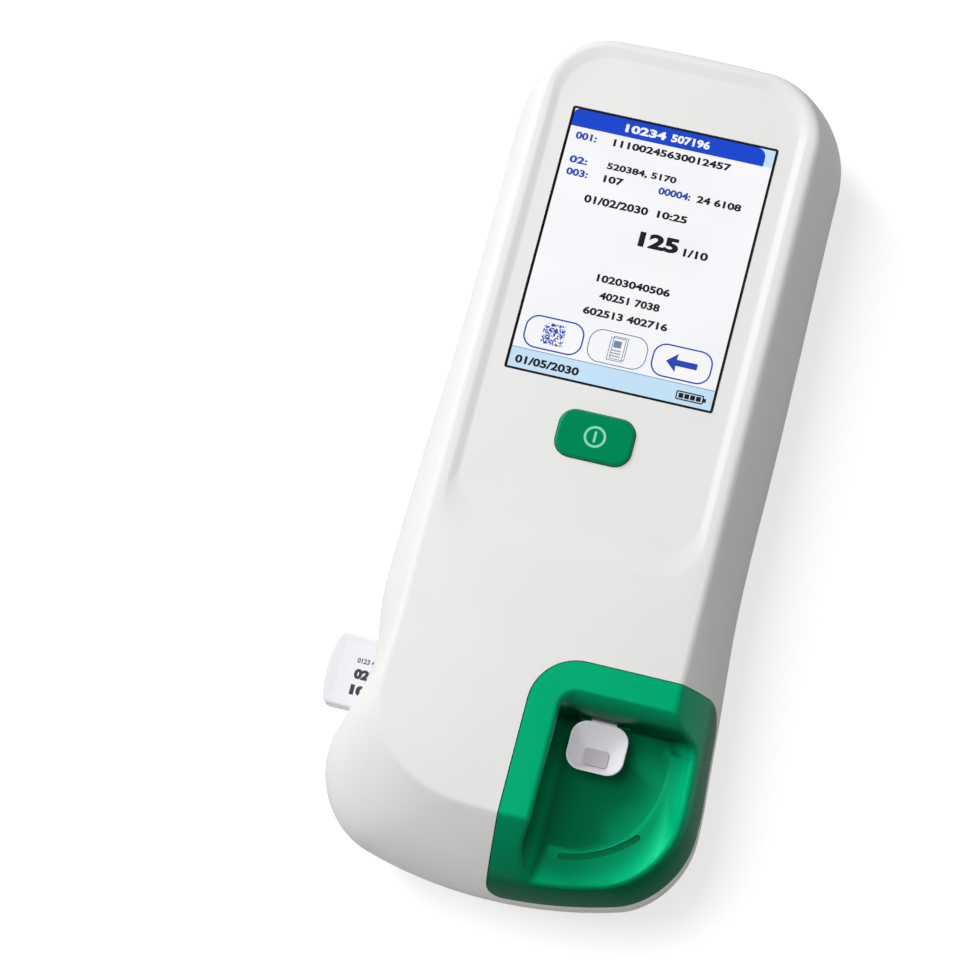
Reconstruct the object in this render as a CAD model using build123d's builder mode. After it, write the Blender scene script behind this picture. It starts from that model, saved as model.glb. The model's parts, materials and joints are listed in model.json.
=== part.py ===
"""Hand-held immunoassay analyzer, lying on its back, in millimetres.

The display looks up along +Z. +Y points to the end above the display, and +X to the side with the
green strip pocket. The origin is on the table, under the middle of the length and the width.
"""

import os
from math import atan2
from math import radians
from math import sin
from math import tan

from build123d import *

os.makedirs("parts", exist_ok=True)

# Heights above the table
FOOT_OUT = 1.2
PART_Z = 27.0
HEIGHT = 50.0
WALL = 2.4
FLOOR_IN = 2.6
BASE_Z = FOOT_OUT
FLOOR_Z = BASE_Z + FLOOR_IN
DISH_DEPTH = 0.9
DISH_Z = HEIGHT - DISH_DEPTH
ROOF_WALL = 2.5
ROOF_Z = DISH_Z - ROOF_WALL

# Swell of the side walls between the flat faces and the widest line, as powers
UPPER_SWELL = 1.6
LOWER_SWELL = 2.4
SECTION_SHARES = (0.0, 0.3, 0.6, 0.83, 1.0)
CREASE_R = 2.6
BASE_EDGE_R = 3.0
SEAM_DEPTH = 0.5
SEAM_HEIGHT = 0.5
ROOT = 0.5

# Clearances
SLIDE_GAP = 0.3
TRIM_GAP = 0.15
SEAT_GAP = 0.1
SCREW_GAP = 0.05
TOUCH = 0.01

# Plan outlines. The sides are half widths at SIDE_STATIONS, from the top end to the foot.
SIDE_STATIONS = (0.0, 0.45, 0.69, 0.78, 0.84, 0.91, 0.97, 1.0)
WIDEST = {
    "top_y": 124.0,
    "top_x": 20.0,
    "top_drop": 0.6,
    "side_top": 96.0,
    "right": (47.0, 48.0, 48.5, 49.8, 50.7, 51.6, 52.4, 52.5),
    "left": (47.0, 48.0, 49.2, 48.6, 46.7, 47.2, 51.2, 52.5),
    "side_foot": -95.0,
    "front_x": 36.0,
    "front_drop": 5.2,
    "front_y": -124.0,
}
PLATEAU_HALF = 40.0
PLATEAU = {
    "top_y": 118.0,
    "top_x": 22.0,
    "top_drop": 0.4,
    "side_top": 99.0,
    "right": (PLATEAU_HALF,) * len(SIDE_STATIONS),
    "left": (PLATEAU_HALF,) * len(SIDE_STATIONS),
    "side_foot": -76.0,
    "front_x": 10.0,
    "front_drop": 0.2,
    "front_y": -104.0,
}
BASE = {
    "top_y": 113.0,
    "top_x": 19.0,
    "top_drop": 0.6,
    "side_top": 87.0,
    "right": (40.0, 41.0, 41.5, 42.0, 42.5, 43.0, 43.4, 43.5),
    "left": (40.0, 41.0, 41.5, 42.0, 42.5, 43.0, 43.4, 43.5),
    "side_foot": -88.0,
    "front_x": 30.0,
    "front_drop": 4.0,
    "front_y": -113.0,
}
CORNER_PULL = 0.56

# Display, centred on the dish
SCREEN_Y = 57.0
WINDOW_W = 59.2
WINDOW_H = 78.8
WINDOW_T = 1.5
WINDOW_CORNER_R = 0.8
WINDOW_EDGE = 0.2
PICTURE_GAP = 0.1
PICTURE_W = 57.6
PICTURE_H = 76.8
WINDOW_TOP_Z = DISH_Z - 0.1
WINDOW_Z = WINDOW_TOP_Z - WINDOW_T
GASKET_T = 0.5
PANEL_T = 1.8
BACKLIGHT_T = 2.2
LCD_WALL = 0.8
PANEL_W = WINDOW_W + 0.8
PANEL_H = WINDOW_H + 0.8
PANEL_TOP_Z = ROOF_Z - GASKET_T
BACKLIGHT_TOP_Z = PANEL_TOP_Z - PANEL_T
LCD_FLOOR_TOP_Z = BACKLIGHT_TOP_Z - BACKLIGHT_T
LCD_BACK_Z = LCD_FLOOR_TOP_Z - LCD_WALL

# Dish round the display and the button
DISH_HALF = 36.5
DISH_TOP_Y = 115.6
DISH_FOOT_Y = -31.0
DISH_TOP_CORNER = 15.0
DISH_FOOT_CORNER = 12.0
DISH_SIDE_SLOPE = 2.2
DISH_TOP_SLOPE = 2.8
DISH_FOOT_SLOPE = 7.0
DISH_FLOOR_FILLET = 2.5
DISH_RIM_FILLET = 1.8

# Power button and its switch
BUTTON_Y = 3.4
BUTTON_W = 21.4
BUTTON_H = 13.5
BUTTON_CORNER = 4.5
BUTTON_GAP = 0.25
BUTTON_OUT = 1.1
BUTTON_EDGE_R = 0.9
BUTTON_FLANGE = 1.1
BUTTON_FLANGE_T = 1.2
STEM_R = 2.0
SWITCH_SIDE = 6.0
SWITCH_HEIGHT = 3.4
SWITCH_FLOOR = 0.5
PLUNGER_R = 1.7
PLUNGER_OUT = 1.8
DOME_T = 1.3
DOME_FOOT_R = 2.3
DOME_TOP_R = 0.9

# Boards
BOARD_T = 1.6
MAIN_BOARD_Z = 33.0
MAIN_BOARD_TOP_Z = MAIN_BOARD_Z + BOARD_T
MAIN_BOARD_HALF = 37.4
MAIN_BOARD_FOOT_Y = 1.5
MAIN_BOARD_TOP_Y = 97.0
MAIN_TONGUE_HALF = 14.0
MAIN_TONGUE_FOOT_Y = -10.0
WINDOW_TONGUE_HALF = 20.0
WINDOW_TONGUE_TOP_Y = 111.0
MAIN_POST_X = 34.5
MAIN_POST_YS = (8.0, 92.0)
MEASURE_BOARD_Z = 18.0
MEASURE_BOARD_TOP_Z = MEASURE_BOARD_Z + BOARD_T
MEASURE_BOARD_HALF = 37.0
MEASURE_BOARD_FOOT_Y = -92.0
MEASURE_BOARD_TOP_Y = -13.0
MEASURE_POST_X = 32.0
MEASURE_POST_YS = (-88.2, -20.0)
BOARD_POST_R = 3.0

# Screws
BOARD_SCREW_R = 1.0
BOARD_SCREW_HEAD_R = 2.0
BOARD_SCREW_HEAD_T = 1.4
BOARD_SCREW_GRIP = 6.0
BOARD_PILOT_DEPTH = 6.6
CASE_SCREW_R = 1.4
CASE_SCREW_HEAD_R = 2.7
CASE_SCREW_HEAD_T = 2.0
CASE_SCREW_GRIP = 4.0
CASE_POST_R = 4.4
CASE_BORE_R = 3.1
CASE_SEAT_Z = 17.0
CASE_PILOT_DEPTH = 4.6
HIGH_BOSS_SPOTS = ((-26.0, 103.0), (26.0, 103.0), (-34.0, -5.0), (34.0, -5.0), (-33.0, -98.0))
LOW_BOSS_SPOT = (33.0, -98.0)
LOW_BOSS_T = 4.0
LOW_BOSS_WEB_W = 5.0
LOW_BOSS_WEB_L = 15.0
DRIVE_W = 0.8
DRIVE_DEPTH = 0.9
DRIVE_SHARE = 0.62

# Green application cover. It takes the lower right corner of the upper shell.
APP_LEFT_X = 0.0
APP_TOP_Y = -58.3
APP_LEDGE_Z = 29.0
APP_CORNER_R = 13.5
APP_SIDE_CORNER_R = 9.0
APP_FRONT_CORNER_R = 5.0
APP_WALL = 2.0
APP_GAP = 0.3
LEDGE_WIDTH = 6.0
OUTSIDE = 90.0
FAR_OUTSIDE = 3 * OUTSIDE

# Pocket in the cover, as six outlines from its floor up.
# Each is height, left x, right x at the back, right x at the front, back y, front y,
# then the four corner radii (back left, back right, front left) and the two legs of the front right corner.
POCKET_FLOOR_Z = 34.8
POCKET_OUTLINES = (
    (POCKET_FLOOR_Z, 13.4, 40.4, 41.0, -71.6, -107.0, 2.4, 4.0, 2.0, 22.0, 28.0),
    (35.4, 12.4, 41.6, 43.4, -71.6, -114.0, 2.6, 4.2, 2.0, 24.0, 29.0),
    (36.3, 11.5, 43.0, 45.6, -71.6, -119.8, 3.0, 4.5, 2.2, 24.0, 29.0),
    (38.0, 10.2, 45.0, 48.2, -71.6, -124.5, 3.6, 5.0, 2.5, 24.0, 29.0),
    (41.5, 8.6, 47.6, 51.8, -71.4, -130.0, 4.2, 6.0, 2.8, 24.0, 29.0),
    (HEIGHT + 1.0, 6.3, 57.0, 58.0, -64.9, -145.0, 7.0, 8.0, 3.0, 24.0, 29.0),
)
POCKET_RIM_R = 1.4
GROOVE_PATH = ((18.2, -109.3), (28.7, -105.9), (37.0, -99.6))
GROOVE_W = 1.8
GROOVE_DEPTH = 0.3
GROOVE_TOP = 3.0

# Test strip, its guide and the optics above it
STRIP_X = 21.0
STRIP_Z = 36.6
WELL_W = 16.2
WELL_L = 14.0
WELL_T = 4.7
WELL_CORNER_R = 4.6
WELL_EDGE_R = 0.2
WELL_TAPER = 2.0
WELL_FRONT_Y = -86.2
FUNNEL_WALL = 0.6
FUNNEL_Z = STRIP_Z + 1.2
PAD_W = 6.8
PAD_L = 4.6
PAD_T = 0.5
PAD_SHIFT_Y = -2.2
STRIP_W = 14.0
STRIP_FRONT_Y = -70.4
NECK_W = 7.0
STRIP_T = 3.0
STRIP_END_Y = -15.7
MEMBRANE_W = 7.0
MEMBRANE_Y = (-42.0, -26.0)
MEMBRANE_T = 0.4
PAD_CORNER_R = 0.8
GUIDE_FRONT_Y = -57.4
GUIDE_END_Y = -12.4
GUIDE_FLOOR_Z = 33.4
GUIDE_BED_Z = STRIP_Z - 0.2
GUIDE_RAIL_TOP_Z = STRIP_Z + STRIP_T + 0.6
GUIDE_RAIL_T = 1.8
GUIDE_EAR_X = 12.6
GUIDE_EAR_YS = (-50.0, -20.0)
GUIDE_EAR_T = 2.4
GUIDE_EAR_RISE = 1.1
HEATER_W = 11.0
HEATER_Y = (-50.0, -21.0)
HEATER_T = 1.1
HEATER_FOIL_T = 0.25
SENSE_Y = -54.0
SENSE_HOLE_R = 1.0
SENSE_SIDE = 3.6
SENSE_T = 1.8
OPTICS_FRONT_Y = -47.0
OPTICS_BACK_Y = GUIDE_END_Y - 1.2
OPTICS_TOP_Z = ROOF_Z - 0.3
OPTICS_WALL = 1.2
OPTICS_IN = 1.0
OPTICS_FLOOR_T = 0.8
MIRROR_Y = -41.0
MIRROR_L = 4.2
MIRROR_T = 0.8
MIRROR_ANGLE = 45.0
LENS_Y = -23.0
LENS_R = 1.6
LENS_T = 2.2
LENS_WALL_T = 2.6
SENSOR_SIDE = 4.4
SENSOR_H = 2.8
SENSOR_BOARD_W = 12.0
SENSOR_T = 0.9
SENSOR_BOARD_T = 1.2
LAMP_R = 0.9
LAMP_T = 0.8
LAMP_YS = (-37.0, -30.0)
LAMP_DX = 4.4

# Code chip, across the left side
CHIP_Y = -72.0
CHIP_W = 20.7
CHIP_T = 5.8
CHIP_Z = PART_Z - 0.5
CHIP_TIP_X = -58.8
CHIP_BULGE = 1.6
CHIP_END_X = -24.0
CHIP_EDGE_R = 0.9
CHIP_CORNER_R = 2.0
CHIP_LABEL_MARGIN = 2.0
CHIP_LABEL_T = 0.2
CHIP_LABEL_END_X = -44.0
CHIP_PAD_X = (-33.0, -26.5)
CHIP_PAD_W = 1.4
CHIP_PAD_T = 0.2
CHIP_PAD_PITCH = 2.6
CHIP_PAD_COUNT = 6
SOCKET_FRONT_X = -41.0
SOCKET_WALL = 1.5
CHIP_SPRING_T = 0.8
CHIP_SPRING_GAP = 0.15

# Battery pack in the back
PACK_HALF = 29.0
PACK_FOOT_Y = 12.0
PACK_TOP_Y = 92.0
PACK_TOP_Z = 22.8
PACK_WALL = 1.4
PACK_FACE_T = 1.8
PACK_LID_T = 1.0
PACK_EDGE_R = 1.0
CELL_R = 9.0
CELL_L = 65.0
CELL_COUNT = 3
CELL_GAP = 0.4
CELL_FOOT_Y = 16.0
BAY_WALL = 1.6
BAY_ROOF_Z = PACK_TOP_Z + SLIDE_GAP
TERMINAL_COUNT = 4
TERMINAL_PITCH = 5.0
TERMINAL_W = 2.6
TERMINAL_Z = (7.5, 14.5)
TERMINAL_T = 0.4
CONTACT_WINDOW_MARGIN = 0.8
CONTACT_IN = 1.5
CONTACT_W = 1.8
CONTACT_GAP = 0.3
CONTACT_NOSE_R = 0.6
PLUG_HALF = 11.0
PLUG_L = 4.5
PULL_R = 9.0
PULL_DEPTH = 0.9

# Top end window with the scanner and the infrared port behind it
TOP_WINDOW_HALF = 16.0
TOP_WINDOW_Z = (31.2, 41.0)

# Feet, sockets and small parts on the underside
FOOT_R = 5.5
FOOT_T = 2.0
FOOT_SPOTS = ((-27.0, -80.0), (27.0, -80.0), (-14.0, 103.0), (14.0, 103.0))
JACK_X = -20.0
JACK_W = 12.0
JACK_H = 7.0
JACK_SLOT_W = 9.4
JACK_SLOT_H = 3.4
JACK_Z = 12.0
JACK_Y = (-114.5, -100.5)
JACK_SLOT_DEPTH = 9.0
JACK_PIN_W = 6.4
JACK_PIN_T = 0.8
CHARGE_PAD_R = 2.2
CHARGE_PAD_Y = -101.0
CHARGE_PAD_PITCH = 8.0
CHARGE_PAD_COUNT = 4
CHARGE_FLANGE = 0.8
CHARGE_FLANGE_T = 0.6
CHARGE_PAD_IN = 0.1
SOUND_HOLE_R = 0.9
SOUND_HOLE_PITCH = 3.6
SOUND_Y = 0.0
SOUND_HOLE_COLUMNS = 3
SOUND_HOLE_ROWS = 2
CRADLE_IN = 1.5
FOOT_EDGE = 0.4
BOARD_PART_EDGE = 0.5
BEEPER_R = 7.0
BEEPER_T = 4.0
BEEPER_SPOT = (0.0, 3.4)
BEEPER_PORT_R = 1.2
BEEPER_PORT_DEPTH = 1.0
CELL_CLIP_SPOT = (-20.0, 60.0)
COIN_R = 10.0
COIN_T = 3.2
COIN_WALL = 1.0
COIN_BASE = 0.8
RIBBON_T = 0.25
DISPLAY_RIBBON_HALF = 9.0
DISPLAY_PLUG_Y = (19.0, 22.5)
DISPLAY_PLUG_T = 2.0
DISPLAY_PLUG_HALF = 10.5
DISPLAY_FOLD_Y = 16.0
DISPLAY_RIBBON_END_Y = 24.0
BOARD_RIBBON_HALF = 7.0
BOARD_PLUG_HALF = 8.0
BOARD_PLUG_T = 2.8
BOARD_PLUG_LOW_Y = (-26.0, -21.0)
BOARD_PLUG_HIGH_Y = (-9.5, -4.7)
BOARD_RIBBON_R = 3.0
SHIELD_X = (-16.0, 16.0)
SHIELD_Y = (36.0, 64.0)
SHIELD_T = 2.4
SHIELD_WALL = 0.4
ENGINE_X = (-15.0, 1.0)
ENGINE_Y = (98.6, 110.0)
ENGINE_T = 5.4
ENGINE_NOSE_R = 1.9
ENGINE_NOSE_L = 0.8
PORT_X = (5.0, 14.0)
PORT_Y = (105.0, 109.0)
PORT_T = 4.2
PORT_LENS_R = 1.6


def blended(lower, upper, share):
    """An outline that lies between two others."""
    mixed = {}
    for key, value in lower.items():
        if isinstance(value, tuple):
            mixed[key] = tuple(a + (b - a) * share for a, b in zip(value, upper[key]))
        else:
            mixed[key] = value + (upper[key] - value) * share
    return mixed


def drawn_in(shape, depth):
    """The same outline, further inside by a wall's thickness."""
    inner = dict(shape)
    inner["top_y"] = shape["top_y"] - depth
    inner["front_y"] = shape["front_y"] + depth
    inner["right"] = tuple(x - depth for x in shape["right"])
    inner["left"] = tuple(x - depth for x in shape["left"])
    return inner


def corner_points(end, slope, side_x, side_y):
    """Control points of a corner that leaves an end edge and meets a side square on."""
    meet = Vector(side_x, end[1] + (side_x - end[0]) * slope)
    start = Vector(*end)
    finish = Vector(side_x, side_y)
    return [start, start + (meet - start) * CORNER_PULL, finish + (meet - finish) * CORNER_PULL, finish]


def outline(shape, height):
    """The plan outline as a face at a height."""
    run = shape["side_foot"] - shape["side_top"]
    stations = [shape["side_top"] + run * share for share in SIDE_STATIONS]
    top_end = (shape["top_x"], shape["top_y"] - shape["top_drop"])
    front_end = (shape["front_x"], shape["front_y"] + shape["front_drop"])
    top_slope = tan(2 * atan2(shape["top_drop"], shape["top_x"]))
    front_slope = tan(2 * atan2(shape["front_drop"], shape["front_x"]))
    right = list(zip(shape["right"], stations))
    left = [(-x, y) for x, y in zip(shape["left"], stations)]
    left.reverse()
    with BuildSketch(Plane.XY.offset(height)) as face:
        with BuildLine():
            ThreePointArc((-top_end[0], top_end[1]), (0, shape["top_y"]), top_end)
            Bezier(*corner_points(top_end, -top_slope, *right[0]))
            Spline(*right, tangents=[(0, -1), (0, -1)])
            Bezier(*reversed(corner_points(front_end, front_slope, *right[-1])))
            ThreePointArc(front_end, (0, shape["front_y"]), (-front_end[0], front_end[1]))
            Bezier(*corner_points((-front_end[0], front_end[1]), -front_slope, *left[0]))
            Spline(*left, tangents=[(0, 1), (0, 1)])
            Bezier(*reversed(corner_points((-top_end[0], top_end[1]), top_slope, *left[-1])))
        make_face()
    return face.sketch


def upper_outline(height):
    """The upper shell's outline at a height."""
    share = max(height - PART_Z, 0) / (HEIGHT - PART_Z)
    return blended(PLATEAU, WIDEST, 1 - share**UPPER_SWELL)


def lower_outline(height):
    """The lower shell's outline at a height."""
    share = max(PART_Z - height, 0) / (PART_Z - BASE_Z)
    return blended(BASE, WIDEST, 1 - share**LOWER_SWELL)


def shell_form(rule, start, end, depth=0.0):
    """A solid through the outlines that a rule gives from one height to another."""
    sections = []
    for share in SECTION_SHARES:
        height = start + (end - start) * share
        sections.append(outline(drawn_in(rule(height), depth), height))
    with BuildPart() as form:
        loft(sections=sections)
    return form.part


def slab(x, y, z, mode=Mode.ADD):
    """A rectangular block between two limits on each axis."""
    with Locations(((x[0] + x[1]) / 2, (y[0] + y[1]) / 2, (z[0] + z[1]) / 2)):
        Box(x[1] - x[0], y[1] - y[0], z[1] - z[0], mode=mode)


def post(spot, z, radius, mode=Mode.ADD):
    """An upright round block."""
    with Locations((spot[0], spot[1], (z[0] + z[1]) / 2)):
        Cylinder(radius, z[1] - z[0], mode=mode)


def rounded_slab(centre, size, radius, z, mode=Mode.ADD):
    """An upright block with rounded corners."""
    with BuildSketch(Plane.XY.offset(z[0])) as face:
        with Locations(centre):
            RectangleRounded(size[0], size[1], radius)
    extrude(face.sketch, amount=z[1] - z[0], mode=mode)


def mirrored_spots(half, stations):
    """Spots on both sides of the middle line."""
    return [(side * half, y) for side in (-1, 1) for y in stations]


def save(piece, name):
    """Label a finished piece and write it."""
    piece.part.label = name
    export_step(piece.part, f"parts/{name}.step")


def dish_outline(side, top, foot, height):
    """The dish's outline at a height, drawn in by its slopes."""
    width = 2 * (DISH_HALF - side)
    run = (DISH_FOOT_Y + foot, DISH_TOP_Y - top)
    with BuildSketch(Plane.XY.offset(height)) as face:
        with Locations((0, (run[0] + run[1]) / 2)):
            Rectangle(width, run[1] - run[0])
        fillet(face.vertices().group_by(Axis.Y)[-1], DISH_TOP_CORNER - side / 2)
        fillet(face.vertices().group_by(Axis.Y)[0], DISH_FOOT_CORNER - side / 2)
    return face.sketch


def application_region(gap, floor):
    """The corner of the upper shell that the green piece takes, smaller all round by a gap."""
    left = APP_LEFT_X + gap
    back = APP_TOP_Y - gap
    middle = (left + OUTSIDE, back - OUTSIDE, floor + OUTSIDE)
    with BuildPart() as region:
        with BuildSketch(Plane.XY.offset(floor)) as plan:
            with Locations((middle[0], middle[1])):
                Rectangle(2 * OUTSIDE, 2 * OUTSIDE)
            fillet(plan.vertices().sort_by_distance((left, back))[0], APP_CORNER_R - gap)
        extrude(amount=OUTSIDE)
        with BuildSketch(Plane.YZ) as side:
            with Locations((middle[1], middle[2])):
                Rectangle(2 * OUTSIDE, 2 * OUTSIDE)
            fillet(side.vertices().sort_by_distance((back, floor))[0], APP_SIDE_CORNER_R - gap)
        extrude(amount=FAR_OUTSIDE, both=True, mode=Mode.INTERSECT)
        with BuildSketch(Plane.XZ) as face:
            with Locations((middle[0], middle[2])):
                Rectangle(2 * OUTSIDE, 2 * OUTSIDE)
            fillet(face.vertices().sort_by_distance((left, floor))[0], APP_FRONT_CORNER_R - gap)
        extrude(amount=FAR_OUTSIDE, both=True, mode=Mode.INTERSECT)
    return region.part


def pocket_form(grow, drop):
    """The pocket's space, grown sideways and deepened to make the outside of its wall."""
    sections = []
    for z, left, back_right, front_right, back, front, r_bl, r_br, r_fl, leg_x, leg_y in POCKET_OUTLINES:
        x0 = left - grow
        xb = back_right + grow
        xf = front_right + grow
        y1 = back + grow
        y0 = front - grow
        height = z - drop if z == POCKET_FLOOR_Z else z
        right_dir = (Vector(xb, y1) - Vector(xf, y0)).normalized()
        side_low = Vector(xf, y0) + right_dir * leg_y
        side_high = Vector(xb, y1) - right_dir * r_br
        pull = CORNER_PULL
        front_corner = Vector(xf, y0)
        back_corner = Vector(xb, y1)
        front_start = Vector(xf - leg_x, y0)
        back_end = Vector(xb - r_br, y1)
        with BuildSketch(Plane.XY.offset(height)) as face:
            with BuildLine():
                Line((x0 + r_fl, y0), front_start)
                Bezier(
                    front_start,
                    front_start + (front_corner - front_start) * pull,
                    side_low + (front_corner - side_low) * pull,
                    side_low,
                )
                Line(side_low, side_high)
                Bezier(
                    side_high,
                    side_high + (back_corner - side_high) * pull,
                    back_end + (back_corner - back_end) * pull,
                    back_end,
                )
                Line(back_end, (x0 + r_bl, y1))
                RadiusArc((x0 + r_bl, y1), (x0, y1 - r_bl), -r_bl)
                Line((x0, y1 - r_bl), (x0, y0 + r_fl))
                RadiusArc((x0, y0 + r_fl), (x0 + r_fl, y0), -r_fl)
            make_face()
        sections.append(face.sketch)
    with BuildPart() as form:
        loft(sections=sections)
    return form.part


def rim_edges(edges, first, second):
    """The edges that lie in the skins of two solids at once."""
    skins = (first.shell(), second.shell())
    return [edge for edge in edges if all(skin.distance_to(edge @ 0.5) < TOUCH for skin in skins)]


# Forms that several pieces share
upper_inner = shell_form(upper_outline, PART_Z, ROOF_Z, WALL)
lower_inner = shell_form(lower_outline, PART_Z, FLOOR_Z, WALL)
with BuildPart() as upper_builder:
    add(shell_form(upper_outline, PART_Z, HEIGHT))
    fillet(upper_builder.faces().sort_by(Axis.Z)[-1].edges(), CREASE_R)
upper_outer = upper_builder.part
with BuildPart() as lower_builder:
    add(shell_form(lower_outline, PART_Z, BASE_Z))
    fillet(lower_builder.faces().sort_by(Axis.Z)[0].edges(), BASE_EDGE_R)
lower_outer = lower_builder.part

dish_sections = [
    dish_outline(DISH_SIDE_SLOPE, DISH_TOP_SLOPE, DISH_FOOT_SLOPE, DISH_Z),
    dish_outline(0, 0, 0, HEIGHT),
]
with BuildPart() as dish_builder:
    loft(sections=dish_sections, ruled=True)
    fillet(dish_builder.faces().sort_by(Axis.Z)[0].edges(), DISH_FLOOR_FILLET)
dish = dish_builder.part
with BuildPart() as dished_builder:
    add(upper_outer)
    add(dish, mode=Mode.SUBTRACT)
    fillet(rim_edges(dished_builder.edges(), upper_outer, dish), DISH_RIM_FILLET)
dished_outer = dished_builder.part

pocket = pocket_form(0, 0)
pocket_outside = pocket_form(APP_WALL, APP_WALL)
with BuildPart() as pocketed_builder:
    add(upper_outer)
    add(pocket, mode=Mode.SUBTRACT)
    fillet(rim_edges(pocketed_builder.edges(), upper_outer, pocket), POCKET_RIM_R)
pocketed_outer = pocketed_builder.part
application_hole = application_region(0, APP_LEDGE_Z)
application_space = application_region(APP_GAP, APP_LEDGE_Z)
application_inside = application_region(APP_WALL, BASE_Z)

main_post_spots = mirrored_spots(MAIN_POST_X, MAIN_POST_YS)
measure_post_spots = mirrored_spots(MEASURE_POST_X, MEASURE_POST_YS)
guide_post_spots = [(STRIP_X + x, y) for x, y in mirrored_spots(GUIDE_EAR_X, GUIDE_EAR_YS)]
guide_ear_top_z = GUIDE_BED_Z + GUIDE_EAR_RISE
case_screw_spots = HIGH_BOSS_SPOTS + (LOW_BOSS_SPOT,)
chip_y = (CHIP_Y - CHIP_W / 2, CHIP_Y + CHIP_W / 2)
chip_z = (CHIP_Z - CHIP_T / 2, CHIP_Z + CHIP_T / 2)
chip_slot_y = (chip_y[0] - SLIDE_GAP, chip_y[1] + SLIDE_GAP)
chip_slot_z = (chip_z[0] - SLIDE_GAP, chip_z[1] + SLIDE_GAP)
chip_slot_x = (CHIP_TIP_X, SOCKET_FRONT_X)
window_size = (WINDOW_W + 2 * SEAT_GAP, WINDOW_H + 2 * SEAT_GAP)
picture_size = (PICTURE_W + 2 * PICTURE_GAP, PICTURE_H + 2 * PICTURE_GAP)
button_hole = (BUTTON_W + 2 * BUTTON_GAP, BUTTON_H + 2 * BUTTON_GAP)
bay_x = (-PACK_HALF - SLIDE_GAP, PACK_HALF + SLIDE_GAP)
bay_y = (PACK_FOOT_Y - SLIDE_GAP, PACK_TOP_Y + SLIDE_GAP)
plug_y = (bay_y[0] - BAY_WALL - PLUG_L, bay_y[0] - BAY_WALL)


# Upper shell
with BuildPart() as case_bosses:
    for spot in HIGH_BOSS_SPOTS:
        post(spot, (PART_Z, ROOF_Z + ROOT), CASE_POST_R)
    add(upper_outer, mode=Mode.INTERSECT)

with BuildPart() as ledge:
    add(upper_outer)
    slab((APP_LEFT_X, OUTSIDE), (-2 * OUTSIDE, APP_TOP_Y), (PART_Z, APP_LEDGE_Z), mode=Mode.INTERSECT)
    add(shell_form(upper_outline, PART_Z, ROOF_Z, LEDGE_WIDTH), mode=Mode.SUBTRACT)
    slab(
        (LOW_BOSS_SPOT[0], LOW_BOSS_SPOT[0] + LOW_BOSS_WEB_L),
        (LOW_BOSS_SPOT[1] - LOW_BOSS_WEB_W / 2, LOW_BOSS_SPOT[1] + LOW_BOSS_WEB_W / 2),
        (PART_Z, APP_LEDGE_Z),
    )
    post(LOW_BOSS_SPOT, (PART_Z, PART_Z + LOW_BOSS_T), CASE_POST_R)

with BuildPart() as top_cover:
    add(dished_outer)
    add(upper_inner, mode=Mode.SUBTRACT)
    add(case_bosses.part)
    for spot in main_post_spots:
        post(spot, (MAIN_BOARD_TOP_Z, ROOF_Z + ROOT), BOARD_POST_R)
    for spot in guide_post_spots:
        post(spot, (guide_ear_top_z, ROOF_Z + ROOT), BOARD_POST_R)
    add(application_hole, mode=Mode.SUBTRACT)
    add(ledge.part)
    rounded_slab((0, SCREEN_Y), window_size, WINDOW_CORNER_R, (WINDOW_Z, HEIGHT), mode=Mode.SUBTRACT)
    rounded_slab((0, SCREEN_Y), picture_size, WINDOW_CORNER_R, (ROOF_Z, WINDOW_Z), mode=Mode.SUBTRACT)
    rounded_slab(
        (0, BUTTON_Y), button_hole, BUTTON_CORNER + BUTTON_GAP, (ROOF_Z, HEIGHT), mode=Mode.SUBTRACT
    )
    slab(chip_slot_x, chip_slot_y, chip_slot_z, mode=Mode.SUBTRACT)
    slab(
        (-TOP_WINDOW_HALF, TOP_WINDOW_HALF),
        (WINDOW_TONGUE_TOP_Y, WINDOW_TONGUE_TOP_Y + OUTSIDE),
        TOP_WINDOW_Z,
        mode=Mode.SUBTRACT,
    )
    for spot in case_screw_spots:
        post(spot, (PART_Z, PART_Z + CASE_PILOT_DEPTH), CASE_SCREW_R + SCREW_GAP, mode=Mode.SUBTRACT)
    for spot in main_post_spots:
        top = MAIN_BOARD_Z + BOARD_PILOT_DEPTH
        post(spot, (MAIN_BOARD_TOP_Z, top), BOARD_SCREW_R + SCREW_GAP, mode=Mode.SUBTRACT)
    for spot in guide_post_spots:
        top = guide_ear_top_z - GUIDE_EAR_T + BOARD_PILOT_DEPTH
        post(spot, (guide_ear_top_z, top), BOARD_SCREW_R + SCREW_GAP, mode=Mode.SUBTRACT)
save(top_cover, "top_cover")

with BuildPart() as top_window:
    add(upper_outer)
    add(upper_inner, mode=Mode.SUBTRACT)
    slab(
        (TRIM_GAP - TOP_WINDOW_HALF, TOP_WINDOW_HALF - TRIM_GAP),
        (WINDOW_TONGUE_TOP_Y, WINDOW_TONGUE_TOP_Y + OUTSIDE),
        (TOP_WINDOW_Z[0] + TRIM_GAP, TOP_WINDOW_Z[1] - TRIM_GAP),
        mode=Mode.INTERSECT,
    )
save(top_window, "top_window")

# Green piece with the pocket for the strip
with BuildPart() as application_room:
    add(upper_inner)
    add(application_inside, mode=Mode.INTERSECT)
    add(pocket_outside, mode=Mode.SUBTRACT)

with BuildPart() as groove:
    with BuildSketch(Plane.XY.offset(POCKET_FLOOR_Z - GROOVE_DEPTH)) as band:
        with BuildLine():
            ThreePointArc(*GROOVE_PATH)
            offset(amount=GROOVE_W / 2)
        make_face()
    extrude(amount=GROOVE_TOP)

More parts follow.
